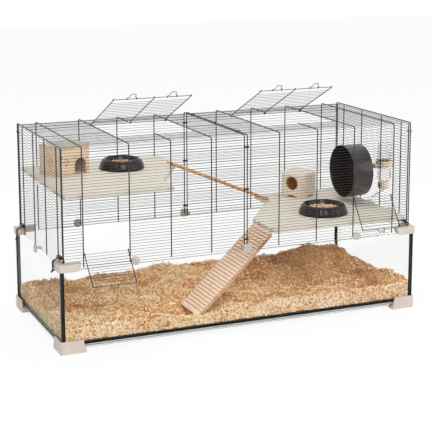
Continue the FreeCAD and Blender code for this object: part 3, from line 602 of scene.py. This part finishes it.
class DoorPlane:
    def __init__(self, y, z, u, w):
        self.hinge, self.u, self.w = Vector((0, y, z)), Vector(u), Vector(w)

    def at(self, x, u, w):
        return self.hinge + Vector((x, 0, 0)) + self.u * u + self.w * w

    def eye(self, x, u, w, radius, start, sweep):
        steps = int(sweep / 20)  # a point every 20 degrees
        turns = [math.radians(start + sweep * k / steps) for k in range(steps + 1)]
        return [self.at(x, u + radius * math.cos(t), w + radius * math.sin(t)) for t in turns]


def doorWire(build, plane, x, length, tip):
    jog, eye = doorSide["jog"], doorSide["eye"]
    jogEnd, jogStart = doorSide["jogAt"]
    path = [plane.at(x, u, w) for u, w in tip]
    path += [plane.at(x, length, jog), plane.at(x, jogEnd, jog), plane.at(x, jogStart, 0)]
    path = softBend(path + [plane.at(x, eye, 0)], doorSide["bend"])[:-1]
    drawWire(build, path + plane.eye(x, 0, 0, eye, 0, doorSide["sweep"]), wireTop["doorWire"])


def wirePiece(name, build, body, node):
    makePiece(name, build, [blackWire], body, (node,), 60)


# side wires, rows across them and an edge wire, whose place is given back for the latch
def wireDoor(name, body, plane, wires, door):
    jog, length, thin = doorSide["jog"], door["length"], wireTop["thin"]
    build = Build()
    for x in wires:
        doorWire(build, plane, x, length, [(length + beyond, jog + lift) for beyond, lift in door["tips"]])
    past = math.copysign(door["rowPast"], wires[0])
    near, far = wires[0] - past, wires[-1] + past
    rowLevel = jog + door["rowSide"] * (wireTop["doorWire"] + thin)
    rows = [(doorSide["firstRow"] + k * door["pitch"], rowLevel, thin) for k in range(door["rows"])]
    edge, edgeLevel = length - door["edgeIn"], jog + wireTop["doorWire"] + wireTop["edgeWire"]
    for rise, level, radius in rows + [(edge, edgeLevel, wireTop["edgeWire"])]:
        drawWire(build, [plane.at(near, rise, level), plane.at(far, rise, level)], radius)
    wirePiece(name, build, body, body)
    return edge, edgeLevel


def latchWire(build, plane, x, u, w, shape):
    thick = wireTop["latchWire"]
    radius = wireTop["edgeWire"] / math.cos(math.pi / 4) + latchEye["play"] + thick
    foot = radius + thick
    span = abs(shape[0][0])
    wide, start, sweep = radius * latchEye["wide"], latchEye["start"], latchEye["sweep"]
    for side in (-1, 1):
        drawWire(build, plane.eye(x + side * span, u, w, wide, start, sweep), thick)
    path = [plane.at(x + dx, u + foot + du, w) for dx, du in shape]
    drawWire(build, softBend(path, latchEye["bend"]), thick)


for side, sign in (("left", -1), ("right", 1)):
    uprights = Build()
    for x in wireTop["uprights"]:
        for path in uprightPaths(sign * x):
            drawWire(uprights, path, wireTop["thick"], 10)
    wirePiece(side + "NetUprights", uprights, "cage", side + "_net_uprights")
    rows = Build()
    netRows(rows, side, sign)
    wirePiece(side + "NetWires", rows, "cage", side + "_net_wires")
    panel = Build()
    sidePanel(panel, sign)
    wirePiece(side + "SidePanel", panel, "cage", side + "_side_panel")

    gap, stations = doorSide["gap"], wireTop["uprights"]
    angle = math.radians(frontDoor["angle"][side])
    plane = DoorPlane(
        -rowY,
        rowZ(frontDoor["hingeRow"][side]),
        (0, -math.sin(angle), math.cos(angle)),
        (0, -math.cos(angle), -math.sin(angle)),
    )
    wires = [sign * (stations[3] + gap), sign * (stations[4] - gap)]
    edge, level = wireDoor(side + "FrontDoor", side + "_front_door", plane, wires, frontDoor)
    latch = Build()
    latchWire(latch, plane, sum(wires) / 2, edge, level, frontDoor["latch"])
    body = side + "_front_latch"
    wirePiece(side + "FrontLatch", latch, body, body)

    angle = math.radians(roofDoor["angle"])
    plane = DoorPlane(
        roofDoor["hingeY"],
        roofRowZ,
        (0, -math.cos(angle), math.sin(angle)),
        (0, math.sin(angle), math.cos(angle)),
    )
    wires = [sign * (stations[1] + gap), sign * (stations[2] - gap), sign * (stations[3] - gap)]
    edge, level = wireDoor(side + "RoofDoor", side + "_roof_door", plane, wires, roofDoor)
    latch = Build()
    half = roofDoor["latch"]
    shape = [(-dx, du) for dx, du in half] + list(reversed(half))
    lean = math.radians(roofDoor["latchLean"])
    foot = plane.at(0, edge, level)
    stood = DoorPlane(
        foot.y,
        foot.z,
        plane.u * math.cos(lean) + plane.w * math.sin(lean),
        plane.w * math.cos(lean) - plane.u * math.sin(lean),
    )
    for x in roofDoor["latchX"]:
        latchWire(latch, stood, sign * x, 0, 0, shape)
    body = side + "_roof_latches"
    wirePiece(side + "RoofLatches", latch, body, body)
print("wire top done")

# shelves, ramp, house, hide and small mouldings keep the solids' forms with eased edges
easedPiece("leftShelf", "left_shelf", creamShelf, "cage", 0.9)
easedPiece("rightShelf", "right_shelf", creamShelf, "cage", 0.9)
easedPiece("rampHooks", "ramp_hooks", whiteMoulding, "ramp", 0.4)
easedPiece("houseWalls", "house_walls", houseWood, "cage", 0.6)
easedPiece("houseRoof", "house_roof", roofWood, "cage", 1.0)
easedPiece("wheelStand", "wheel_stand", wheelShell, "cage", 0.8)
easedPiece("wheelAxle", "wheel_axle", whiteMoulding, "cage", 0.4)
easedPiece("bottleHolder", "bottle_holder", peachMoulding, "cage", 0.5)
easedPiece("bottleCap", "bottle_cap", peachMoulding, "cage", 0.8)

shelf = {"left": 24, "right": 5, "rise": 3.75}  # the wire row that each hangs on, and its top above that row
shelfTop = {side: rowZ(shelf[side]) + shelf["rise"] for side in ("left", "right")}
ramp = {
    "headX": 78.5,
    "headZ": shelfTop["right"] - 7.0,
    "pitch": 43.4,
    "long": 292.0,
    "near": -201.0,
    "far": -85.0,
    "groove": (0.4, 1.35),  # depths under the board's face that count as groove
    "clear": 15.5,  # from the face down to the bedding
    "margin": 4.0,
}


# the faces down in the grooves, which take the painted shade
def inGroove(face):
    lean = math.radians(ramp["pitch"])
    centre = face.calc_center_median() * 1000 + Vector(tankMiddle)
    head = Vector((ramp["headX"], 0, ramp["headZ"]))
    deep = (head - centre).dot(Vector((-math.sin(lean), 0, math.cos(lean))))
    return ramp["groove"][0] < deep < ramp["groove"][1]


# the groove faces take the darker pine: painted shade in the grooves
easedPiece("rampBoard", "ramp_board", rampWood, "ramp", 0.35, 1, rampGrooveShade, inGroove)
hide = {"x": 320.5, "y": 93.5, "turn": 32.0, "size": 82.0, "wall": 9.0, "tall": 72.0}


def insideHide(face):
    turn = Matrix.Rotation(math.radians(-hide["turn"]), 3, "Z")
    centre = face.calc_center_median() * 1000 + Vector(tankMiddle)
    local = turn @ (centre - Vector((hide["x"], hide["y"], shelfTop["right"])))
    near = hide["wall"] * 0.9  # just outside the inner faces, which take the painted glow
    far, top = hide["size"] - near, hide["tall"] - near
    return near < local.x < far and near < local.y < far and local.z < top


# the faces inside the hole take the painted glow
easedPiece("hide", "hide", hideWood, "cage", 1.6, 3, hidePaintedGlow, insideHide)
print("shelves, ramp and houses done")


def lathe(build, profile, place, segments, shape=None, axis="Z"):
    rings = []
    for i, (r, h) in enumerate(profile):
        ring = []
        for k in range(segments):
            t = 2 * math.pi * k / segments
            size = r * (shape(i, t) if shape else 1.0)
            a, b = size * math.cos(t), size * math.sin(t)
            ring.append((a, b, h) if axis == "Z" else (h, a, b))
        rings.append(ring)
    verts = [tuple(p + o for p, o in zip(v, place)) for ring in rings for v in ring]
    faces = []
    count = len(profile)
    for i in range(count):
        j = (i + 1) % count
        for k in range(segments):
            m = (k + 1) % segments
            faces.append((i * segments + k, i * segments + m, j * segments + m, j * segments + k))
    build.add(verts, faces)


# running wheel: thin open drum, ribbed to run on, plain back with a stepped hub
wheel = {"x": 405.5, "y": 20.0, "radius": 75.0, "wall": 2.6, "depth": 62.0, "lift": 14.5, "ribs": 72}
wheelZ = shelfTop["right"] + wheel["lift"] + wheel["radius"]
drum = Build()
r, d = wheel["radius"] - 0.05, wheel["depth"]
inner = r - wheel["wall"]
profile = [
    (r - 0.7, 0.0),
    (r, 0.8),
    (r, 3.4),
    (r - 0.5, 4.0),
    (r - 0.5, d - 3.0),
    (r - 1.2, d - 1.0),
    (r - 2.6, d),
    (60.0, d),
    (59.0, d - 0.6),
    (34.0, d - 0.6),
    (33.0, d),
    (3.1, d),
    (3.1, d - 15.9),
    (7.6, d - 15.9),
    (8.8, d - 15.0),
    (9.0, d - 4.0),
    (10.5, d - 2.6),
    (inner - 3.0, d - 2.4),
    (inner - 0.6, d - 3.6),
    (inner, d - 5.0),
    (inner, 3.0),
    (inner + 0.9, 0.3),
]


def wheelRibs(i, t):
    if i in (19, 20):  # the two rings of the running face
        ridge = 0.5 + 0.5 * math.cos(wheel["ribs"] * t)
        return 1.0 - 0.012 * max(0.0, ridge - 0.55) / 0.45
    return 1.0


lathe(drum, profile, (wheel["x"], wheel["y"], wheelZ), 288, wheelRibs, "X")
makePiece("wheelDrum", drum, [wheelShell], "wheel", ("wheel_drum",), 40)

# feeding bowls: heavy foot, sloped side with pressed panels, rolled lip
bowl = {
    "spots": ((-238.0, 76.0, shelfTop["left"]), (292.0, -83.0, shelfTop["right"])),
    "radii": (61.5, 68.5),
    "panels": 12,
}
bowlWall = [  # distance in from the foot's edge, height
    (3.5, 0.0),
    (0.6, 0.5),
    (0.1, 1.8),
    (0.5, 4.6),
    (1.5, 8.5),
    (3.2, 13.6),
    (5.3, 18.2),
    (7.9, 22.4),
    (10.3, 25.0),
    (12.3, 26.4),
    (14.1, 26.9),
    (15.9, 26.6),
    (17.1, 25.4),
    (18.9, 20.0),
    (22.1, 12.6),
    (25.5, 9.4),
    (32.5, 6.6),
    (45.0, 6.1),
]


def bowlPanels(i, t):
    if 4 <= i <= 7:  # the rings of the sloped side
        wave = math.cos(bowl["panels"] * t)
        groove = max(0.0, wave - 0.8) / 0.2
        deep = (0.012, 0.028, 0.032, 0.018)[i - 4]
        return 1.0 - deep * groove
    return 1.0


bowls = Build()
for spot, radius in zip(bowl["spots"], bowl["radii"]):
    profile = [(radius - inset, level) for inset, level in bowlWall] + [(0.5, 6.1), (0.5, 0.3)]
    lathe(bowls, profile, spot, 144, bowlPanels)
makePiece("bowls", bowls, [bowlGlaze], "cage", ("bowls",), 40)


# loose seed: a bed of whole grains heaped in each bowl
def scatterGrains(build, spots, sizes, turns):
    corners = np.array(((1, 0, 0), (-1, 0, 0), (0, 1, 0), (0, -1, 0), (0, 0, 1), (0, 0, -1)), float)
    sides = ((0, 2, 4), (2, 1, 4), (1, 3, 4), (3, 0, 4), (2, 0, 5), (1, 2, 5), (3, 1, 5), (0, 3, 5))
    for spot, size, turn in zip(spots, sizes, turns):
        build.add([tuple(turn @ Vector(c * size) + Vector(spot)) for c in corners], sides)


seed = {"inset": 25.5, "low": 10.1, "top": 18.6, "fall": 3.4, "grains": 420, "lengths": (2.0, 2.4, 3.0, 3.8)}
seeds = Build()
for spot, radius in zip(bowl["spots"], bowl["radii"]):
    middle, wide = np.array(spot), radius - seed["inset"]
    crown = [(wide, 14.4), (wide - 3, 15.6), (wide - 14, 17.6), (wide - 25, 18.4), (0.5, seed["top"])]
    lathe(seeds, [(0.5, seed["low"]), (wide - 2, seed["low"] + 0.2)] + crown, spot, 40)
    spots, sizes, turns = [], [], []
    for k in range(seed["grains"]):
        reach = (wide - 1) * math.sqrt(random.random())
        t = random.random() * 2 * math.pi
        top = seed["top"] - seed["fall"] * (reach / wide) ** 2
        spots.append(middle + (reach * math.cos(t), reach * math.sin(t), top + random.uniform(-1.0, 0.6)))
        long = random.choice(seed["lengths"])
        sizes.append(np.array((long, long * random.uniform(0.5, 0.8), long * 0.45)))
        lean = Matrix.Rotation(random.gauss(0, 0.5), 3, "X") @ Matrix.Rotation(random.gauss(0, 0.5), 3, "Y")
        turns.append(Matrix.Rotation(random.random() * 6.28, 3, "Z") @ lean)
    scatterGrains(seeds, spots, sizes, turns)
makePiece("seedFill", seeds, [seedCoat], "cage", ("seed_fill",), 80)
print("wheel and bowls done")

# perch: a rough branch along the solid's line
perch = {"steps": 90, "sides": 16, "radius": 4.45, "proud": 0.55}
perch["knots"] = ((0.33, 0.02, 0.35), (0.71, 0.025, 0.3))  # place and reach as shares of the length, height
perchMesh = np.array([v.co for v in nodes["perch"].data.vertices]) * 1000 + tankMiddle
cut = (perchMesh[:, 2].min() + perchMesh[:, 2].max()) / 2
perchHigh = Vector(perchMesh[perchMesh[:, 2] > cut].mean(0))
perchLow = Vector(perchMesh[perchMesh[:, 2] < cut].mean(0))
branch = Build()
steps, sides = perch["steps"], perch["sides"]
way = perchHigh - perchLow
unit = way.normalized()
side = unit.cross(Vector((0, 0, 1))).normalized()
upward = unit.cross(side)
verts, faces = [], []
for i in range(steps + 1):
    share = i / steps
    knot = sum(rise * math.exp(-(((share - place) / reach) ** 2)) for place, reach, rise in perch["knots"])
    for k in range(sides):
        t = 2 * math.pi * k / sides
        out = side * math.cos(t) + upward * math.sin(t)
        rough = noise.noise(out * 1.3 + unit * share * 40) * 0.35
        rough += noise.noise(out * 4 + unit * share * 160) * 0.2
        verts.append(perchLow + way * share + out * (perch["radius"] + min(perch["proud"], knot + rough)))
for i in range(steps):
    for k in range(sides):
        a, b = i * sides + k, i * sides + (k + 1) % sides
        faces.append((a, b, b + sides, a + sides))
faces.append(tuple(reversed(range(sides))))
faces.append(tuple(range(steps * sides, (steps + 1) * sides)))
branch.add(verts, faces)
makePiece("perch", branch, [branchBark], "cage", ("perch",), 50)

# drinking bottle: blown shell with water in it, bent steel tube with a rounded end
bottle = {
    "x": 517.5,
    "y": -26.0,
    "radius": 21.4,
    "tubeRow": 8.5,  # the tube goes in between two rows of wire
    "lift": 35.5,
    "tall": 118.0,
    "wall": 0.9,
    "fill": 88.0,
    "grips": 5,
    "capTall": 19.0,
    "tubeReach": 39.5,
}
tubeZ = rowZ(bottle["tubeRow"])
spot = (bottle["x"], bottle["y"], 0.0)
low, r = tubeZ + bottle["lift"], bottle["radius"]
high = low + bottle["tall"]
shell = Build()
outer = [(10.2, low + 0.1), (11.0, low + 1.0), (16.0, low + 4.5), (r - 0.6, low + 9.0), (r, low + 12.0)]
for k in range(bottle["grips"]):
    base = low + 22.0 + k * 5.0
    outer += [(r, base), (r - 0.7, base + 1.2), (r - 0.7, base + 2.2), (r, base + 3.4)]
outer += [(r, high - 14.0), (r - 1.2, high - 8.0), (r - 5.0, high - 3.0)]
outer += [(r - 11.0, high - 0.3), (0.5, high - 0.1)]
inner = [(max(a - bottle["wall"], 0.4), min(max(b, low + 1.2), high - 1.2)) for a, b in reversed(outer)]
lathe(shell, outer + inner, spot, 64)
makePiece("bottle", shell, [clearBottle], "cage", ("bottle",), 50)
water = Build()
fill = low + bottle["fill"]
body = [(a - bottle["wall"] - 0.15, b) for a, b in outer if low + 3 < b < fill - 2]
lathe(water, [(0.5, low + 2.5)] + body + [(body[-1][0], fill), (0.5, fill)], spot, 64)
makePiece("bottleWater", water, [bottleWater], "cage", (), 50)
capLow = low - bottle["capTall"]
drop = Vector((bottle["x"], bottle["y"], capLow - 4.0))
slant = (drop.z - tubeZ) / (bottle["x"] - sideRowX)
tip = drop + Vector((-bottle["tubeReach"], 0, -bottle["tubeReach"] * slant))
spout = Build()
drawWire(spout, softBend([(bottle["x"], bottle["y"], capLow), drop, tip], 4.5, 6), 1.95, 16)
makePiece("bottleSpout", spout, [tubeSteel], "cage", ("bottle_spout",), 60)
print("perch and bottle done")

# bedding: a heap of loose chips behind the glass, high towards the right end, low at the ramp's foot
bedding = {
    "edgeX": innerX - 0.6,
    "edgeY": innerY - 0.6,
    "floor": 19.4,
    "sealTop": 28.4,
    "step": 5.0,
    "topChips": 28500,
    "sideChips": 9500,
    "behindGlass": 4.4,
    "chipLong": (4.0, 9.5),
    "chipWide": (2.0, 4.2),
    "chipThick": (1.2, 2.6),
    "lumps": ((4.8, 34, 1.7), (4.0, 17, 5.1), (2.2, 8, 9.3)),  # height, size, layer of the noise
    # dark chips gather on the right heap and the left end as painted shade, and thin out in the middle as a
    # painted pool of light
    "toastedAndShadeShare": ((330, 170, 0.7), (-420, 130, 0.45), (-150, 140, -0.6)),  # middle, reach, share more or less
    "skirtStep": 1.4,  # beside the base seal
}


def heapHeight(x, y):
    def hill(cx, cy, rx, ry, rise):  # its middle, its reach and its height
        return rise * np.exp(-(((x - cx) / rx) ** 2) - ((y - cy) / ry) ** 2)

    level = 62 + hill(332, 60, 85, 95, 62) + hill(416, 60, 34, 55, 28) + hill(160, 60, 50, 60, 40)
    level += hill(-60, 202.5, 130, 90, 12) - hill(-150, -150, 105, 75, 29) + hill(485, -145, 80, 60, 18)
    level += hill(200, -217.5, 300, 50, 9) + hill(-230, -217.5, 120, 50, 8) + hill(-470, 110, 80, 110, 13)
    small = np.sin(0.061 * x + 0.9 * np.sin(0.031 * y)) * np.sin(0.073 * y + 1.1 * np.sin(0.023 * x))
    return level + 3.4 * small + 2.6 * np.sin(0.037 * x + 0.052 * y + 0.6)


def underRamp(x, y):
    margin, lean = ramp["margin"], math.radians(ramp["pitch"])
    under = ramp["headZ"] - (ramp["headX"] - x) * math.tan(lean) - ramp["clear"]
    footX = ramp["headX"] - ramp["long"] * math.cos(lean) - 6
    inside = (x > footX) & (x < ramp["headX"] + margin)
    inside &= (y > ramp["near"] - margin) & (y < ramp["far"] + margin)
    return np.where(inside, np.maximum(under, 30.0), 999.0)  # away from the ramp nothing holds the heap down


def lumps(x, y):
    out = []
    for a, b in zip(np.ravel(x), np.ravel(y)):
        out.append(sum(rise * noise.noise((a / size, b / size, z)) for rise, size, z in bedding["lumps"]))
    return np.array(out).reshape(np.shape(x))


columns = int(2 * bedding["edgeX"] / bedding["step"])
lines = int(2 * bedding["edgeY"] / bedding["step"])
backX, backY = bedding["edgeX"] - bedding["behindGlass"], bedding["edgeY"] - bedding["behindGlass"]
gridX, gridY = np.meshgrid(
    np.linspace(-backX, backX, columns + 1),
    np.linspace(-backY, backY, lines + 1),
    indexing="ij",
)
gridZ = np.minimum(heapHeight(gridX, gridY) + lumps(gridX, gridY), underRamp(gridX, gridY))
mound = Build()
verts = np.stack((gridX, gridY, gridZ), 2).reshape(-1, 3).tolist()
across = lines + 1
faces = []
for i in range(columns):
    for j in range(lines):
        a = i * across + j
        faces.append((a, a + across, a + across + 1, a + 1))
rim = [i * across for i in range(columns + 1)]
rim += [columns * across + j for j in range(1, across)]
rim += [i * across + lines for i in range(columns - 1, -1, -1)]
rim += range(lines - 1, 0, -1)
count = len(rim)
inset, seal = bedding["skirtStep"], bedding["sealTop"]
for level, step in ((seal, 0.0), (seal, inset), (bedding["floor"], inset)):
    for index in rim:
        x, y = verts[index][:2]
        x, y = max(min(x, backX - step), step - backX), max(min(y, backY - step), step - backY)
        verts.append((x, y, level))
start = (columns + 1) * across
for k in range(count):
    m = (k + 1) % count
    faces.append((rim[m], rim[k], start + k, start + m))
    for ring in (0, 1):
        a = start + ring * count
        faces.append((a + m, a + k, a + count + k, a + count + m))
faces.append(tuple(start + 2 * count + k for k in reversed(range(count))))
mound.add(verts, faces)


def scatterChips(build, spots, turns, sizes, slot):
    corners = np.array(((-0.5, -0.42, 0.1), (0.5, -0.3, -0.1), (0.42, 0.5, 0.12), (-0.46, 0.4, -0.12)))
    bodies = corners[None, :, :] * sizes[:, None, :]
    placed = np.einsum("nij,nkj->nki", turns, bodies) + spots[:, None, :]
    flat = placed.reshape(-1, 3)
    flat[:, 0] = np.clip(flat[:, 0], -bedding["edgeX"], bedding["edgeX"])
    flat[:, 1] = np.clip(flat[:, 1], -bedding["edgeY"], bedding["edgeY"])
    start = len(build.verts)
    build.verts += [tuple(v) for v in flat.tolist()]
    for n in range(len(spots)):
        a = start + 4 * n
        build.faces += [(a, a + 1, a + 2), (a, a + 2, a + 3), (a, a + 3, a + 1), (a + 1, a + 3, a + 2)]
    build.slots += np.repeat(np.broadcast_to(slot, len(spots)), 4).tolist()


def chipTurns(count, lean):
    yaw = rng.uniform(0, 2 * math.pi, count)
    tip, roll = rng.normal(0, lean, count), rng.normal(0, lean, count)
    cy, sy, ct, st, cr, sr = np.cos(yaw), np.sin(yaw), np.cos(tip), np.sin(tip), np.cos(roll), np.sin(roll)
    zero, one = np.zeros(count), np.ones(count)
    rz = np.array([[cy, -sy, zero], [sy, cy, zero], [zero, zero, one]]).transpose(2, 0, 1)
    ry = np.array([[ct, zero, st], [zero, one, zero], [-st, zero, ct]]).transpose(2, 0, 1)
    rx = np.array([[one, zero, zero], [zero, cr, -sr], [zero, sr, cr]]).transpose(2, 0, 1)
    return rz @ ry @ rx


def chipSizes(count):
    return np.stack([rng.uniform(*bedding[side], count) for side in ("chipLong", "chipWide", "chipThick")], 1)


edgeX, edgeY = bedding["edgeX"], bedding["edgeY"]
count = bedding["topChips"]
x = rng.uniform(-edgeX + 3, edgeX - 3, count)
y = rng.uniform(-edgeY + 3, edgeY - 3, count)
z = heapHeight(x, y) + lumps(x, y) + rng.uniform(-1.0, 4.2, count)
keep = z < underRamp(x, y) - ramp["margin"]
spots = np.stack((x, y, z), 1)[keep]
# the share of dark chips: random toasted ones, plus painted shade and a painted pool of light by place
toastedAndShadeShare = np.array([0.3 + 0.9 * noise.noise((a / 110, b / 110, 3.3)) for a, b, c in spots])
for middle, reach, share in bedding["toastedAndShadeShare"]:
    toastedAndShadeShare += share * np.exp(-(((spots[:, 0] - middle) / reach) ** 2) - ((spots[:, 1] - 40) / 170) ** 2)
slots = np.where(rng.uniform(0, 1, len(spots)) < toastedAndShadeShare, 3, 1)
scatterChips(mound, spots, chipTurns(len(spots), 0.6), chipSizes(len(spots)), slots)
count = bedding["sideChips"]  # chips that lie flat against the panes
onLong = rng.uniform(0, 1, count) < 0.72
front = rng.uniform(0, 1, count) < 0.55
x = np.where(onLong, rng.uniform(-1, 1, count) * edgeX, np.where(front, -1, 1) * edgeX)
y = np.where(onLong, np.where(front, -1, 1) * edgeY, rng.uniform(-1, 1, count) * edgeY)
top = heapHeight(x, y) + 1
z = seal + 1 + rng.uniform(0, 1, count) * (top - seal - 1)
turns = chipTurns(count, 0.35)
stand = np.where(
    onLong[:, None, None],
    np.array([[1, 0, 0], [0, 0, -1], [0, 1, 0]], float)[None],
    np.array([[0, 0, 1], [0, 1, 0], [-1, 0, 0]], float)[None],
)
inward = rng.uniform(1.0, 3.2, count)
x = np.where(onLong, x, x - np.sign(x) * inward)
y = np.where(onLong, y - np.sign(y) * inward, y)
scatterChips(mound, np.stack((x, y, z), 1), stand @ turns, chipSizes(count), 2)
chips = [chipShade, chipWood, chipPale, chipToastedAndShaded]
makePiece("bedding", mound, chips, "cage", ("bedding",), 0)
print("bedding done,", len(mound.faces), "faces")

# studio: white floor and surround, a broad soft key from above the viewer, a fill from the right
studio = {"key": 42.0, "fill": 16.0, "top": 26.0, "world": 0.62, "floorGlow": 0.9}


# 1 for what the eye sees, straight or by way of metal and glass, and 0 for light that falls on the object
def shownToEye(tree):
    path = addNode(tree, "ShaderNodeLightPath").outputs
    either = {"operation": "ADD", "use_clamp": True}
    seen = path["Is Camera Ray"]
    for other in ("Is Glossy Ray", "Is Transmission Ray"):
        seen = addNode(tree, "ShaderNodeMath", either, {0: seen, 1: path[other]}).outputs["Value"]
    return seen


floorMesh = bpy.data.meshes.new("studioFloor")
floorMesh.from_pydata([(-9, -9, 0), (9, -9, 0), (9, 9, 0), (-9, 9, 0)], [], [(0, 1, 2, 3)])
floor = bpy.data.objects.new("studioFloor", floorMesh)
scene.collection.objects.link(floor)
# matt paper: white, and it keeps the cage's shadow
floorPaint, tree, shader = startMaterial("studioPaperMatt", roughness=0.9)
shader.inputs["Base Color"].default_value = linear("#ffffff")
glowing = {0: shownToEye(tree), 1: studio["floorGlow"]}
share = addNode(tree, "ShaderNodeMath", {"operation": "MULTIPLY"}, glowing)
glow = addNode(tree, "ShaderNodeEmission", None, {"Color": (1, 1, 1, 1), "Strength": 1.0})
mixed = addNode(
    tree,
    "ShaderNodeMixShader",
    None,
    {0: share.outputs["Value"], 1: shader.outputs["BSDF"], 2: glow.outputs["Emission"]},
)
tree.links.new(mixed.outputs["Shader"], tree.nodes["Material Output"].inputs["Surface"])
floorMesh.materials.append(floorPaint)

world = bpy.data.worlds.new("studioSurround")
scene.world = world
world.use_nodes = True
tree = world.node_tree
strength = {"Value": shownToEye(tree), "To Min": studio["world"], "To Max": 1.0}
level = addNode(tree, "ShaderNodeMapRange", None, strength)
tree.nodes["Background"].inputs["Color"].default_value = (1, 1, 1, 1)
tree.links.new(level.outputs["Result"], tree.nodes["Background"].inputs["Strength"])


def softLamp(name, power, size, place, target):
    lamp = bpy.data.lights.new(name, "AREA")
    lamp.energy, lamp.shape, lamp.size = power, "DISK", size
    holder = bpy.data.objects.new(name, lamp)
    scene.collection.objects.link(holder)
    holder.location = place
    holder.rotation_euler = (Vector(target) - Vector(place)).to_track_quat("-Z", "Y").to_euler()


softLamp("keyLamp", studio["key"], 1.8, (-0.7, -2.9, 2.5), (0, 0, 0.25))
softLamp("fillLamp", studio["fill"], 2.2, (2.4, -2.0, 1.3), (0, 0, 0.25))
softLamp("topLamp", studio["top"], 2.4, (0.2, 0.6, 2.9), (0, 0, 0.2))

# the photograph's view: a long lens from the front left, with a little downward shift
view = {
    "azimuth": -23.116,
    "elevation": 10.46,
    "roll": -0.1,
    "focal": 1263.71,
    "image": 433,
    "shiftY": -65.0,
    "right": 0.006,
    "up": 0.4294,
    "back": 3.5033,
}
az, el, roll = (math.radians(view[k]) for k in ("azimuth", "elevation", "roll"))
backward = Vector((math.sin(az) * math.cos(el), -math.cos(az) * math.cos(el), math.sin(el)))
level = Vector((math.cos(az), math.sin(az), 0))
upright = backward.cross(level)
sideways = level * math.cos(roll) + upright * math.sin(roll)
upward = upright * math.cos(roll) - level * math.sin(roll)
eye = sideways * view["right"] + upward * view["up"] + backward * view["back"]
cameraData = bpy.data.cameras.new("photoCamera")
cameraData.sensor_width = 36.0
cameraData.lens = view["focal"] / view["image"] * 36.0
cameraData.shift_y = view["shiftY"] / view["image"]
cameraData.clip_end = 60
camera = bpy.data.objects.new("photoCamera", cameraData)
scene.collection.objects.link(camera)
turn = Matrix((sideways, upward, backward)).transposed().to_4x4()
camera.matrix_world = Matrix.Translation(eye - Vector(tankMiddle) / 1000) @ turn
scene.camera = camera
scene.view_settings.view_transform = "Standard"

print("studio and camera set")
